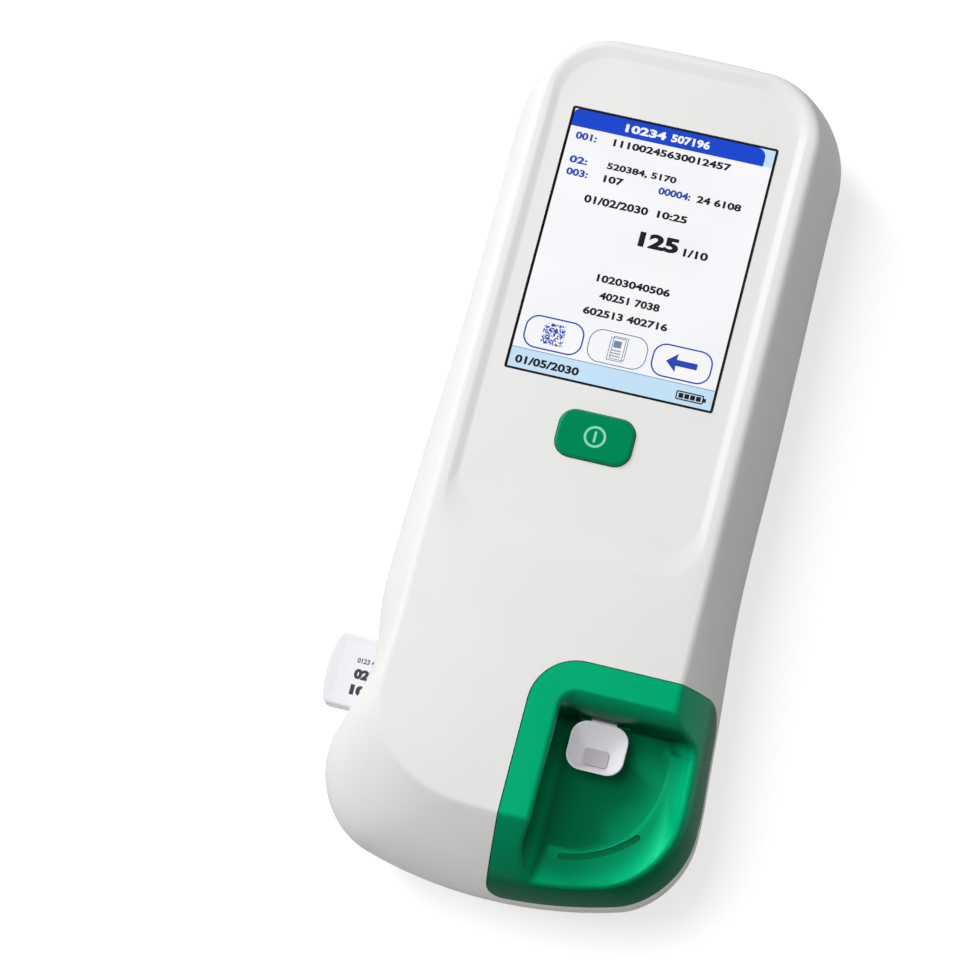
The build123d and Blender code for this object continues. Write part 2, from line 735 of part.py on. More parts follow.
with BuildPart() as application_cover:
    add(pocketed_outer)
    add(application_space, mode=Mode.INTERSECT)
    add(application_room.part, mode=Mode.SUBTRACT)
    add(groove.part, mode=Mode.SUBTRACT)
    slab(
        (STRIP_X - STRIP_W / 2 - SLIDE_GAP, STRIP_X + STRIP_W / 2 + SLIDE_GAP),
        (WELL_FRONT_Y, GUIDE_FRONT_Y),
        (STRIP_Z - SLIDE_GAP, STRIP_Z + STRIP_T + SLIDE_GAP),
        mode=Mode.SUBTRACT,
    )
save(application_cover, "application_cover")


# Lower shell
with BuildPart() as case_posts:
    for spot in case_screw_spots:
        post(spot, (BASE_Z, PART_Z), CASE_POST_R)
    add(lower_outer, mode=Mode.INTERSECT)

with BuildPart() as seam:
    add(lower_outer)
    slab(
        (-OUTSIDE, OUTSIDE),
        (-2 * OUTSIDE, 2 * OUTSIDE),
        (PART_Z - SEAM_HEIGHT, PART_Z),
        mode=Mode.INTERSECT,
    )
    add(shell_form(lower_outline, PART_Z, FLOOR_Z, SEAM_DEPTH), mode=Mode.SUBTRACT)

pad_middle = ((CHARGE_PAD_COUNT - 1) * CHARGE_PAD_PITCH) / 2
charge_spots = [(n * CHARGE_PAD_PITCH - pad_middle, CHARGE_PAD_Y) for n in range(CHARGE_PAD_COUNT)]
terminal_middle = (TERMINAL_COUNT - 1) * TERMINAL_PITCH / 2
terminal_xs = [n * TERMINAL_PITCH - terminal_middle for n in range(TERMINAL_COUNT)]
contact_window_half = terminal_middle + TERMINAL_W / 2 + CONTACT_WINDOW_MARGIN
jack_x = (JACK_X - JACK_W / 2, JACK_X + JACK_W / 2)
jack_z = (JACK_Z - JACK_H / 2, JACK_Z + JACK_H / 2)

with BuildPart() as bottom_cover:
    add(lower_outer)
    add(lower_inner, mode=Mode.SUBTRACT)
    add(case_posts.part)
    slab(
        (bay_x[0] - BAY_WALL, bay_x[1] + BAY_WALL),
        (bay_y[0] - BAY_WALL, bay_y[1] + BAY_WALL),
        (FLOOR_Z - ROOT, BAY_ROOF_Z + BAY_WALL),
    )
    for spot in measure_post_spots:
        post(spot, (FLOOR_Z - ROOT, MEASURE_BOARD_Z), BOARD_POST_R)
    slab(
        (jack_x[0] + CRADLE_IN, jack_x[1] - CRADLE_IN),
        (JACK_Y[0] + CRADLE_IN, JACK_Y[1] - CRADLE_IN),
        (FLOOR_Z - ROOT, jack_z[0]),
    )
    slab(
        (-PLUG_HALF, PLUG_HALF),
        plug_y,
        (FLOOR_Z - ROOT, TERMINAL_Z[0] - CONTACT_WINDOW_MARGIN),
    )
    slab(bay_x, bay_y, (0, BAY_ROOF_Z), mode=Mode.SUBTRACT)
    slab(
        (-contact_window_half, contact_window_half),
        (bay_y[0] - BAY_WALL, bay_y[0]),
        (TERMINAL_Z[0] - CONTACT_WINDOW_MARGIN, TERMINAL_Z[1] + CONTACT_WINDOW_MARGIN),
        mode=Mode.SUBTRACT,
    )
    for spot in case_screw_spots:
        post(spot, (0, CASE_SEAT_Z), CASE_BORE_R, mode=Mode.SUBTRACT)
        post(spot, (CASE_SEAT_Z, PART_Z), CASE_SCREW_R + SCREW_GAP, mode=Mode.SUBTRACT)
    for spot in measure_post_spots:
        low = MEASURE_BOARD_TOP_Z - BOARD_PILOT_DEPTH
        post(spot, (low, MEASURE_BOARD_Z), BOARD_SCREW_R + SCREW_GAP, mode=Mode.SUBTRACT)
    for spot in FOOT_SPOTS:
        post(spot, (0, FOOT_T), FOOT_R + SEAT_GAP, mode=Mode.SUBTRACT)
    slab(
        (jack_x[0] - TRIM_GAP, jack_x[1] + TRIM_GAP),
        (-2 * OUTSIDE, JACK_Y[0] + CRADLE_IN),
        (jack_z[0] - TRIM_GAP, jack_z[1] + TRIM_GAP),
        mode=Mode.SUBTRACT,
    )
    for spot in charge_spots:
        post(spot, (0, FLOOR_Z), CHARGE_PAD_R + SCREW_GAP, mode=Mode.SUBTRACT)
    with Locations((0, SOUND_Y, FLOOR_Z)):
        with GridLocations(SOUND_HOLE_PITCH, SOUND_HOLE_PITCH, SOUND_HOLE_COLUMNS, SOUND_HOLE_ROWS):
            Hole(SOUND_HOLE_R)
    slab(chip_slot_x, chip_slot_y, chip_slot_z, mode=Mode.SUBTRACT)
    add(seam.part, mode=Mode.SUBTRACT)
save(bottom_cover, "bottom_cover")


def screws(spots, seat_z, up, shank, head):
    """Pan head screws whose heads sit on a seat and whose shanks point up or down."""
    sense = 1 if up else -1
    with BuildPart() as piece:
        for spot in spots:
            shank_end = seat_z + sense * shank[1]
            head_end = seat_z - sense * head[1]
            post(spot, (min(seat_z, shank_end), max(seat_z, shank_end)), shank[0])
            post(spot, (min(seat_z, head_end), max(seat_z, head_end)), head[0])
            drive = sorted((head_end, head_end + sense * DRIVE_DEPTH))
            reach = head[0] * DRIVE_SHARE
            for half in ((reach, DRIVE_W / 2), (DRIVE_W / 2, reach)):
                slab(
                    (spot[0] - half[0], spot[0] + half[0]),
                    (spot[1] - half[1], spot[1] + half[1]),
                    drive,
                    mode=Mode.SUBTRACT,
                )
    return piece


case_shank = (CASE_SCREW_R, PART_Z - CASE_SEAT_Z + CASE_SCREW_GRIP)
case_head = (CASE_SCREW_HEAD_R, CASE_SCREW_HEAD_T)
board_shank = (BOARD_SCREW_R, BOARD_SCREW_GRIP)
board_head = (BOARD_SCREW_HEAD_R, BOARD_SCREW_HEAD_T)
housing_screws = screws(case_screw_spots, CASE_SEAT_Z, True, case_shank, case_head)
save(housing_screws, "housing_screws")
measure_screws = screws(measure_post_spots, MEASURE_BOARD_TOP_Z, False, board_shank, board_head)
with BuildPart() as board_screws:
    add(screws(main_post_spots, MAIN_BOARD_Z, True, board_shank, board_head).part)
    add(measure_screws.part)
save(board_screws, "board_screws")
guide_screws = screws(guide_post_spots, guide_ear_top_z - GUIDE_EAR_T, True, board_shank, board_head)
save(guide_screws, "guide_screws")

with BuildPart() as rubber_feet:
    for spot in FOOT_SPOTS:
        post(spot, (0, FOOT_T), FOOT_R)
    chamfer(rubber_feet.edges().filter_by(GeomType.CIRCLE).group_by(Axis.Z)[0], FOOT_EDGE)
save(rubber_feet, "rubber_feet")

with BuildPart() as charging_contacts:
    for spot in charge_spots:
        post(spot, (BASE_Z + CHARGE_PAD_IN, FLOOR_Z + CHARGE_FLANGE_T), CHARGE_PAD_R)
        post(spot, (FLOOR_Z, FLOOR_Z + CHARGE_FLANGE_T), CHARGE_PAD_R + CHARGE_FLANGE)
save(charging_contacts, "charging_contacts")

# Display, from the window down
with BuildPart() as display_window:
    rounded_slab((0, SCREEN_Y), (WINDOW_W, WINDOW_H), WINDOW_CORNER_R - SEAT_GAP, (WINDOW_Z, WINDOW_TOP_Z))
    chamfer(display_window.faces().sort_by(Axis.Z)[-1].edges(), WINDOW_EDGE)
save(display_window, "display_window")

with BuildPart() as display_gasket:
    rounded_slab((0, SCREEN_Y), (PANEL_W, PANEL_H), WINDOW_CORNER_R, (PANEL_TOP_Z, ROOF_Z))
    rounded_slab((0, SCREEN_Y), picture_size, WINDOW_CORNER_R, (PANEL_TOP_Z, ROOF_Z), mode=Mode.SUBTRACT)
save(display_gasket, "display_gasket")

panel_x = (-PANEL_W / 2, PANEL_W / 2)
panel_y = (SCREEN_Y - PANEL_H / 2, SCREEN_Y + PANEL_H / 2)
with BuildPart() as lcd_panel:
    slab(panel_x, panel_y, (BACKLIGHT_TOP_Z, PANEL_TOP_Z))
save(lcd_panel, "lcd_panel")

with BuildPart() as backlight_plate:
    slab(panel_x, panel_y, (LCD_FLOOR_TOP_Z, BACKLIGHT_TOP_Z))
save(backlight_plate, "backlight_plate")

with BuildPart() as lcd_frame:
    slab(
        (panel_x[0] - LCD_WALL, panel_x[1] + LCD_WALL),
        (panel_y[0] - LCD_WALL, panel_y[1] + LCD_WALL),
        (LCD_BACK_Z, PANEL_TOP_Z),
    )
    slab(panel_x, panel_y, (LCD_FLOOR_TOP_Z, PANEL_TOP_Z), mode=Mode.SUBTRACT)
save(lcd_frame, "lcd_frame")

display_plug_z = (MAIN_BOARD_TOP_Z, MAIN_BOARD_TOP_Z + DISPLAY_PLUG_T)
ribbon_high_z = LCD_BACK_Z - RIBBON_T / 2
ribbon_low_z = MAIN_BOARD_TOP_Z + DISPLAY_PLUG_T / 2
with BuildPart() as display_cable:
    with BuildSketch(Plane.YZ.offset(-DISPLAY_RIBBON_HALF)) as ribbon:
        with BuildLine() as route:
            Line((DISPLAY_RIBBON_END_Y, ribbon_high_z), (DISPLAY_FOLD_Y, ribbon_high_z))
            ThreePointArc(
                (DISPLAY_FOLD_Y, ribbon_high_z),
                (DISPLAY_FOLD_Y - (ribbon_high_z - ribbon_low_z) / 2, (ribbon_high_z + ribbon_low_z) / 2),
                (DISPLAY_FOLD_Y, ribbon_low_z),
            )
            Line((DISPLAY_FOLD_Y, ribbon_low_z), (DISPLAY_PLUG_Y[0], ribbon_low_z))
            offset(amount=RIBBON_T / 2)
        make_face()
    extrude(amount=2 * DISPLAY_RIBBON_HALF)
    slab(
        (-OUTSIDE, OUTSIDE), (DISPLAY_PLUG_Y[0], OUTSIDE), (MAIN_BOARD_TOP_Z, ribbon_high_z - RIBBON_T),
        mode=Mode.SUBTRACT,
    )
save(display_cable, "display_cable")

with BuildPart() as display_connector:
    slab((-DISPLAY_PLUG_HALF, DISPLAY_PLUG_HALF), DISPLAY_PLUG_Y, display_plug_z)
    fillet(display_connector.edges().filter_by(Axis.X).group_by(Axis.Z)[-1], BOARD_PART_EDGE)
save(display_connector, "display_connector")

# Power button with its switch
button_top_z = DISH_Z + BUTTON_OUT
flange_top_z = ROOF_Z - SEAT_GAP
flange_z = flange_top_z - BUTTON_FLANGE_T
switch_top_z = MAIN_BOARD_TOP_Z + SWITCH_HEIGHT
plunger_top_z = switch_top_z + PLUNGER_OUT
switch_floor_z = MAIN_BOARD_TOP_Z + SWITCH_FLOOR
dome_top_z = switch_floor_z + DOME_T
with BuildPart() as power_button:
    rounded_slab((0, BUTTON_Y), (BUTTON_W, BUTTON_H), BUTTON_CORNER, (flange_z, button_top_z))
    fillet(power_button.faces().sort_by(Axis.Z)[-1].edges(), BUTTON_EDGE_R)
    rounded_slab(
        (0, BUTTON_Y),
        (BUTTON_W + 2 * BUTTON_FLANGE, BUTTON_H + 2 * BUTTON_FLANGE),
        BUTTON_CORNER + BUTTON_FLANGE,
        (flange_z, flange_top_z),
    )
    post((0, BUTTON_Y), (plunger_top_z, flange_z + ROOT), STEM_R)
save(power_button, "power_button")

with BuildPart() as switch_plunger:
    post((0, BUTTON_Y), (dome_top_z, plunger_top_z), PLUNGER_R)
save(switch_plunger, "switch_plunger")

with BuildPart() as switch_dome:
    with BuildSketch(Plane.XY.offset(switch_floor_z)) as dome_foot:
        with Locations((0, BUTTON_Y)):
            Circle(DOME_FOOT_R)
    with BuildSketch(Plane.XY.offset(dome_top_z)) as dome_top:
        with Locations((0, BUTTON_Y)):
            Circle(DOME_TOP_R)
    loft()
save(switch_dome, "switch_dome")

with BuildPart() as power_switch:
    slab(
        (-SWITCH_SIDE / 2, SWITCH_SIDE / 2),
        (BUTTON_Y - SWITCH_SIDE / 2, BUTTON_Y + SWITCH_SIDE / 2),
        (MAIN_BOARD_TOP_Z, switch_top_z),
    )
    post((0, BUTTON_Y), (switch_floor_z, dome_top_z + ROOT), DOME_FOOT_R + SEAT_GAP, mode=Mode.SUBTRACT)
    post((0, BUTTON_Y), (switch_floor_z, switch_top_z), PLUNGER_R + SCREW_GAP, mode=Mode.SUBTRACT)
save(power_switch, "power_switch")

# Main board and what sits on it
with BuildPart() as main_board:
    slab(
        (-MAIN_BOARD_HALF, MAIN_BOARD_HALF),
        (MAIN_BOARD_FOOT_Y, MAIN_BOARD_TOP_Y),
        (MAIN_BOARD_Z, MAIN_BOARD_TOP_Z),
    )
    slab(
        (-MAIN_TONGUE_HALF, MAIN_TONGUE_HALF),
        (MAIN_TONGUE_FOOT_Y, MAIN_BOARD_FOOT_Y),
        (MAIN_BOARD_Z, MAIN_BOARD_TOP_Z),
    )
    slab(
        (-WINDOW_TONGUE_HALF, WINDOW_TONGUE_HALF),
        (MAIN_BOARD_TOP_Y, WINDOW_TONGUE_TOP_Y),
        (MAIN_BOARD_Z, MAIN_BOARD_TOP_Z),
    )
    for spot in main_post_spots:
        post(spot, (MAIN_BOARD_Z, MAIN_BOARD_TOP_Z), BOARD_SCREW_R + SCREW_GAP, mode=Mode.SUBTRACT)
save(main_board, "main_board")

with BuildPart() as processor_shield:
    slab(SHIELD_X, SHIELD_Y, (MAIN_BOARD_TOP_Z, MAIN_BOARD_TOP_Z + SHIELD_T))
    fillet(processor_shield.edges().filter_by(Axis.Z), BOARD_PART_EDGE)
    slab(
        (SHIELD_X[0] + SHIELD_WALL, SHIELD_X[1] - SHIELD_WALL),
        (SHIELD_Y[0] + SHIELD_WALL, SHIELD_Y[1] - SHIELD_WALL),
        (MAIN_BOARD_TOP_Z, MAIN_BOARD_TOP_Z + SHIELD_T - SHIELD_WALL),
        mode=Mode.SUBTRACT,
    )
save(processor_shield, "processor_shield")

engine_top_z = MAIN_BOARD_TOP_Z + ENGINE_T
with BuildPart() as scanner_engine:
    slab(ENGINE_X, ENGINE_Y, (MAIN_BOARD_TOP_Z, engine_top_z))
    fillet(scanner_engine.edges().filter_by(Axis.Z), BOARD_PART_EDGE)
    engine_face = Plane.XZ.offset(-ENGINE_Y[1])
    with BuildSketch(engine_face) as nose:
        with Locations(((ENGINE_X[0] + ENGINE_X[1]) / 2, (MAIN_BOARD_TOP_Z + engine_top_z) / 2)):
            Circle(ENGINE_NOSE_R)
    extrude(amount=-ENGINE_NOSE_L)
save(scanner_engine, "scanner_engine")

with BuildPart() as infrared_transceiver:
    slab(PORT_X, PORT_Y, (MAIN_BOARD_TOP_Z, MAIN_BOARD_TOP_Z + PORT_T))
    for x in (PORT_X[0] + PORT_LENS_R + ROOT, PORT_X[1] - PORT_LENS_R - ROOT):
        with Locations((x, PORT_Y[1], MAIN_BOARD_TOP_Z + PORT_T / 2)):
            Sphere(PORT_LENS_R)
save(infrared_transceiver, "infrared_transceiver")

with BuildPart() as beeper:
    post(BEEPER_SPOT, (MAIN_BOARD_Z - BEEPER_T, MAIN_BOARD_Z), BEEPER_R)
    fillet(beeper.edges().filter_by(GeomType.CIRCLE).group_by(Axis.Z)[0], BOARD_PART_EDGE)
    post(
        BEEPER_SPOT,
        (MAIN_BOARD_Z - BEEPER_T, MAIN_BOARD_Z - BEEPER_T + BEEPER_PORT_DEPTH),
        BEEPER_PORT_R,
        mode=Mode.SUBTRACT,
    )
save(beeper, "beeper")

coin_z = (MAIN_BOARD_Z - COIN_BASE - COIN_T, MAIN_BOARD_Z - COIN_BASE)
with BuildPart() as clock_cell:
    post(CELL_CLIP_SPOT, coin_z, COIN_R)
    fillet(clock_cell.edges().filter_by(GeomType.CIRCLE).group_by(Axis.Z)[0], BOARD_PART_EDGE)
save(clock_cell, "clock_cell")

with BuildPart() as clock_cell_holder:
    post(CELL_CLIP_SPOT, (coin_z[0] + COIN_T / 2, MAIN_BOARD_Z), COIN_R + SEAT_GAP + COIN_WALL)
    post(CELL_CLIP_SPOT, coin_z, COIN_R + SEAT_GAP, mode=Mode.SUBTRACT)
save(clock_cell_holder, "clock_cell_holder")

# Measuring board in the lower shell, and the cable up to the main board
with BuildPart() as measuring_board:
    slab(
        (-MEASURE_BOARD_HALF, MEASURE_BOARD_HALF),
        (MEASURE_BOARD_FOOT_Y, MEASURE_BOARD_TOP_Y),
        (MEASURE_BOARD_Z, MEASURE_BOARD_TOP_Z),
    )
    for spot in measure_post_spots:
        post(spot, (MEASURE_BOARD_Z, MEASURE_BOARD_TOP_Z), BOARD_SCREW_R + SCREW_GAP, mode=Mode.SUBTRACT)
save(measuring_board, "measuring_board")

plug_low_z = MEASURE_BOARD_TOP_Z + BOARD_PLUG_T / 2
plug_high_y = (BOARD_PLUG_HIGH_Y[0] + BOARD_PLUG_HIGH_Y[1]) / 2
with BuildPart() as board_cable:
    with BuildSketch(Plane.YZ.offset(-BOARD_RIBBON_HALF)) as board_ribbon:
        with BuildLine() as board_route:
            FilletPolyline(
                (BOARD_PLUG_LOW_Y[1], plug_low_z),
                (plug_high_y, plug_low_z),
                (plug_high_y, MAIN_BOARD_Z - BOARD_PLUG_T),
                radius=BOARD_RIBBON_R,
            )
            offset(amount=RIBBON_T / 2)
        make_face()
    extrude(amount=2 * BOARD_RIBBON_HALF)
    slab(
        (-BOARD_PLUG_HALF, BOARD_PLUG_HALF),
        BOARD_PLUG_LOW_Y,
        (MEASURE_BOARD_TOP_Z, MEASURE_BOARD_TOP_Z + BOARD_PLUG_T),
    )
    slab(
        (-BOARD_PLUG_HALF, BOARD_PLUG_HALF), BOARD_PLUG_HIGH_Y, (MAIN_BOARD_Z - BOARD_PLUG_T, MAIN_BOARD_Z)
    )
save(board_cable, "board_cable")

with BuildPart() as power_jack:
    slab(jack_x, JACK_Y, jack_z)
    slab(
        (JACK_X - JACK_SLOT_W / 2, JACK_X + JACK_SLOT_W / 2),
        (JACK_Y[0], JACK_Y[0] + JACK_SLOT_DEPTH),
        (JACK_Z - JACK_SLOT_H / 2, JACK_Z + JACK_SLOT_H / 2),
        mode=Mode.SUBTRACT,
    )
    slab(
        (JACK_X - JACK_PIN_W / 2, JACK_X + JACK_PIN_W / 2),
        (JACK_Y[0] + JACK_PIN_T, JACK_Y[0] + JACK_SLOT_DEPTH),
        (JACK_Z - JACK_PIN_T / 2, JACK_Z + JACK_PIN_T / 2),
    )
save(power_jack, "power_jack")

# Code chip and its socket
pad_run = (CHIP_PAD_COUNT - 1) * CHIP_PAD_PITCH / 2
chip_pad_ys = [CHIP_Y - pad_run + n * CHIP_PAD_PITCH for n in range(CHIP_PAD_COUNT)]
chip_face_x = CHIP_TIP_X + CHIP_BULGE
label_x = (chip_face_x + CHIP_LABEL_MARGIN, CHIP_LABEL_END_X)
label_y = (chip_y[0] + CHIP_LABEL_MARGIN, chip_y[1] - CHIP_LABEL_MARGIN)
label_z = (chip_z[1] - CHIP_LABEL_T, chip_z[1])
with BuildPart() as code_chip:
    with BuildSketch(Plane.XY.offset(chip_z[0])) as chip_plan:
        with BuildLine():
            ThreePointArc((chip_face_x, chip_y[0]), (CHIP_TIP_X, CHIP_Y), (chip_face_x, chip_y[1]))
            Polyline(
                (chip_face_x, chip_y[1]),
                (CHIP_END_X, chip_y[1]),
                (CHIP_END_X, chip_y[0]),
                (chip_face_x, chip_y[0]),
            )
        make_face()
    extrude(amount=CHIP_T)
    fillet(code_chip.edges().filter_by(Axis.Z).group_by(Axis.X)[0], CHIP_CORNER_R)
    outer = code_chip.edges().filter_by(Axis.Z, reverse=True).filter_by(Axis.Y, reverse=True)
    fillet(outer, CHIP_EDGE_R)
    slab(label_x, label_y, label_z, mode=Mode.SUBTRACT)
    for y in chip_pad_ys:
        slab(
            CHIP_PAD_X,
            (y - CHIP_PAD_W / 2, y + CHIP_PAD_W / 2),
            (chip_z[0], chip_z[0] + CHIP_PAD_T),
            mode=Mode.SUBTRACT,
        )
save(code_chip, "code_chip")

with BuildPart() as code_chip_label:
    slab(label_x, label_y, label_z)
save(code_chip_label, "code_chip_label")

with BuildPart() as code_chip_contacts:
    for y in chip_pad_ys:
        slab(CHIP_PAD_X, (y - CHIP_PAD_W / 2, y + CHIP_PAD_W / 2), (chip_z[0], chip_z[0] + CHIP_PAD_T))
save(code_chip_contacts, "code_chip_contacts")

spring_z = (chip_slot_z[0] - CHIP_SPRING_T, chip_z[0] - CHIP_SPRING_GAP)
with BuildPart() as chip_socket:
    slab(
        (SOCKET_FRONT_X, CHIP_END_X + SLIDE_GAP + SOCKET_WALL),
        (chip_slot_y[0] - SOCKET_WALL, chip_slot_y[1] + SOCKET_WALL),
        (MEASURE_BOARD_TOP_Z, chip_slot_z[1] + SOCKET_WALL),
    )
    slab((SOCKET_FRONT_X, CHIP_END_X + SLIDE_GAP), chip_slot_y, chip_slot_z, mode=Mode.SUBTRACT)
    for y in chip_pad_ys:
        slab(
            CHIP_PAD_X,
            (y - CHIP_PAD_W / 2, y + CHIP_PAD_W / 2),
            (spring_z[0], chip_slot_z[0]),
            mode=Mode.SUBTRACT,
        )
save(chip_socket, "chip_socket")

with BuildPart() as chip_socket_contacts:
    for y in chip_pad_ys:
        slab(CHIP_PAD_X, (y - CHIP_PAD_W / 2, y + CHIP_PAD_W / 2), spring_z)
    tips = chip_socket_contacts.edges().filter_by(Axis.Y).group_by(Axis.Z)[-1]
    fillet(tips, CHIP_SPRING_GAP)
save(chip_socket_contacts, "chip_socket_contacts")

# Strip guide, heater and sensor
guide_x = (
    STRIP_X - STRIP_W / 2 - SLIDE_GAP - GUIDE_RAIL_T,
    STRIP_X + STRIP_W / 2 + SLIDE_GAP + GUIDE_RAIL_T,
)
heater_x = (STRIP_X - HEATER_W / 2, STRIP_X + HEATER_W / 2)
heater_z = (GUIDE_BED_Z - HEATER_T, GUIDE_BED_Z)
foil_z = (heater_z[0] - HEATER_FOIL_T, heater_z[0])
with BuildPart() as strip_guide:
    slab(guide_x, (GUIDE_FRONT_Y, GUIDE_END_Y), (GUIDE_FLOOR_Z, GUIDE_RAIL_TOP_Z))
    slab(
        (guide_x[0] + GUIDE_RAIL_T, guide_x[1] - GUIDE_RAIL_T),
        (GUIDE_FRONT_Y, STRIP_END_Y + SLIDE_GAP),
        (GUIDE_BED_Z, GUIDE_RAIL_TOP_Z),
        mode=Mode.SUBTRACT,
    )
    for x, y in guide_post_spots:
        ear_z = (guide_ear_top_z - GUIDE_EAR_T, guide_ear_top_z)
        ear_x = (x, guide_x[0] + GUIDE_RAIL_T) if x < STRIP_X else (guide_x[1] - GUIDE_RAIL_T, x)
        slab(ear_x, (y - BOARD_POST_R, y + BOARD_POST_R), ear_z)
        post((x, y), ear_z, BOARD_POST_R)
        post((x, y), ear_z, BOARD_SCREW_R + SCREW_GAP, mode=Mode.SUBTRACT)
    slab(heater_x, HEATER_Y, (foil_z[0], heater_z[1]), mode=Mode.SUBTRACT)
    post((STRIP_X, SENSE_Y), (GUIDE_FLOOR_Z, GUIDE_BED_Z), SENSE_HOLE_R, mode=Mode.SUBTRACT)
save(strip_guide, "strip_guide")

with BuildPart() as heater_plate:
    slab(heater_x, HEATER_Y, heater_z)
save(heater_plate, "heater_plate")

with BuildPart() as heater_foil:
    slab(heater_x, HEATER_Y, foil_z)
save(heater_foil, "heater_foil")

with BuildPart() as strip_sensor:
    slab(
        (STRIP_X - SENSE_SIDE / 2, STRIP_X + SENSE_SIDE / 2),
        (SENSE_Y - SENSE_SIDE / 2, SENSE_Y + SENSE_SIDE / 2),
        (GUIDE_FLOOR_Z - SENSE_T, GUIDE_FLOOR_Z),
    )
save(strip_sensor, "strip_sensor")

# Test strip
well_middle = (STRIP_X, WELL_FRONT_Y + WELL_L / 2)
well_top_z = STRIP_Z + WELL_T
pad_middle_y = well_middle[1] + PAD_SHIFT_Y
membrane_x = (STRIP_X - MEMBRANE_W / 2, STRIP_X + MEMBRANE_W / 2)
membrane_z = (STRIP_Z + STRIP_T - MEMBRANE_T, STRIP_Z + STRIP_T)
with BuildPart() as test_strip:
    with BuildSketch(Plane.XY.offset(STRIP_Z)) as well_foot:
        with Locations(well_middle):
            RectangleRounded(WELL_W - 2 * WELL_TAPER, WELL_L - 2 * WELL_TAPER, WELL_CORNER_R - WELL_TAPER)
    with BuildSketch(Plane.XY.offset(well_top_z)) as well_head:
        with Locations(well_middle):
            RectangleRounded(WELL_W, WELL_L, WELL_CORNER_R)
    loft()
    fillet(test_strip.faces().sort_by(Axis.Z)[-1].edges(), WELL_EDGE_R)
    slab(
        (STRIP_X - NECK_W / 2, STRIP_X + NECK_W / 2),
        (well_middle[1], STRIP_FRONT_Y),
        (STRIP_Z, STRIP_Z + STRIP_T),
    )
    slab(
        (STRIP_X - STRIP_W / 2, STRIP_X + STRIP_W / 2),
        (STRIP_FRONT_Y, STRIP_END_Y),
        (STRIP_Z, STRIP_Z + STRIP_T),
    )
    with BuildSketch(Plane.XY.offset(well_top_z)) as funnel_top:
        with Locations(well_middle):
            RectangleRounded(
                WELL_W - 2 * FUNNEL_WALL, WELL_L - 2 * FUNNEL_WALL, WELL_CORNER_R - FUNNEL_WALL
            )
    with BuildSketch(Plane.XY.offset(FUNNEL_Z)) as funnel_foot:
        with Locations((STRIP_X, pad_middle_y)):
            RectangleRounded(PAD_W, PAD_L, PAD_CORNER_R)
    loft(mode=Mode.SUBTRACT)
    slab(membrane_x, MEMBRANE_Y, membrane_z, mode=Mode.SUBTRACT)
save(test_strip, "test_strip")

with BuildPart() as sample_pad:
    rounded_slab((STRIP_X, pad_middle_y), (PAD_W, PAD_L), PAD_CORNER_R, (FUNNEL_Z, FUNNEL_Z + PAD_T))
save(sample_pad, "sample_pad")

with BuildPart() as strip_membrane:
    slab(membrane_x, MEMBRANE_Y, membrane_z)
save(strip_membrane, "strip_membrane")

# Optics over the strip
optics_x = (guide_x[0] + OPTICS_IN, guide_x[1] - OPTICS_IN)
optics_room_x = (optics_x[0] + OPTICS_WALL, optics_x[1] - OPTICS_WALL)
optics_room_y = (OPTICS_FRONT_Y + OPTICS_WALL, OPTICS_BACK_Y - OPTICS_WALL)
optics_room_top_z = OPTICS_TOP_Z - OPTICS_WALL
mirror_z = optics_room_top_z - (MIRROR_L + MIRROR_T) * sin(radians(MIRROR_ANGLE)) / 2 - SEAT_GAP
lens_wall_y = (LENS_Y - LENS_WALL_T / 2, LENS_Y + LENS_WALL_T / 2)
lens_z = (GUIDE_RAIL_TOP_Z + optics_room_top_z) / 2
with BuildPart() as optics_housing:
    slab(optics_x, (OPTICS_FRONT_Y, OPTICS_BACK_Y), (GUIDE_RAIL_TOP_Z, OPTICS_TOP_Z))
    slab(optics_room_x, optics_room_y, (GUIDE_RAIL_TOP_Z, optics_room_top_z), mode=Mode.SUBTRACT)
    slab(optics_room_x, lens_wall_y, (GUIDE_RAIL_TOP_Z, optics_room_top_z))
    slab(
        optics_room_x,
        (lens_wall_y[1], optics_room_y[1]),
        (GUIDE_RAIL_TOP_Z, GUIDE_RAIL_TOP_Z + OPTICS_FLOOR_T),
    )
    with Locations((STRIP_X, LENS_Y, lens_z)):
        Cylinder(LENS_R + SCREW_GAP, LENS_WALL_T, rotation=(90, 0, 0), mode=Mode.SUBTRACT)
save(optics_housing, "optics_housing")

with BuildPart() as optics_mirror:
    with Locations((STRIP_X, MIRROR_Y, mirror_z)):
        Box(optics_room_x[1] - optics_room_x[0], MIRROR_L, MIRROR_T, rotation=(MIRROR_ANGLE, 0, 0))
save(optics_mirror, "optics_mirror")

with BuildPart() as optics_lens:
    with Locations((STRIP_X, LENS_Y, lens_z)):
        Cylinder(LENS_R, LENS_T, rotation=(90, 0, 0))
save(optics_lens, "optics_lens")

sensor_board_y = (optics_room_y[1] - SENSOR_BOARD_T, optics_room_y[1])
with BuildPart() as image_sensor_board:
    slab(
        (STRIP_X - SENSOR_BOARD_W / 2, STRIP_X + SENSOR_BOARD_W / 2),
        sensor_board_y,
        (GUIDE_RAIL_TOP_Z + OPTICS_FLOOR_T, optics_room_top_z),
    )
save(image_sensor_board, "image_sensor_board")

sensor_room_z = (GUIDE_RAIL_TOP_Z + OPTICS_FLOOR_T + optics_room_top_z) / 2
with BuildPart() as image_sensor:
    slab(
        (STRIP_X - SENSOR_SIDE / 2, STRIP_X + SENSOR_SIDE / 2),
        (sensor_board_y[0] - SENSOR_T, sensor_board_y[0]),
        (sensor_room_z - SENSOR_H / 2, sensor_room_z + SENSOR_H / 2),
    )
save(image_sensor, "image_sensor")

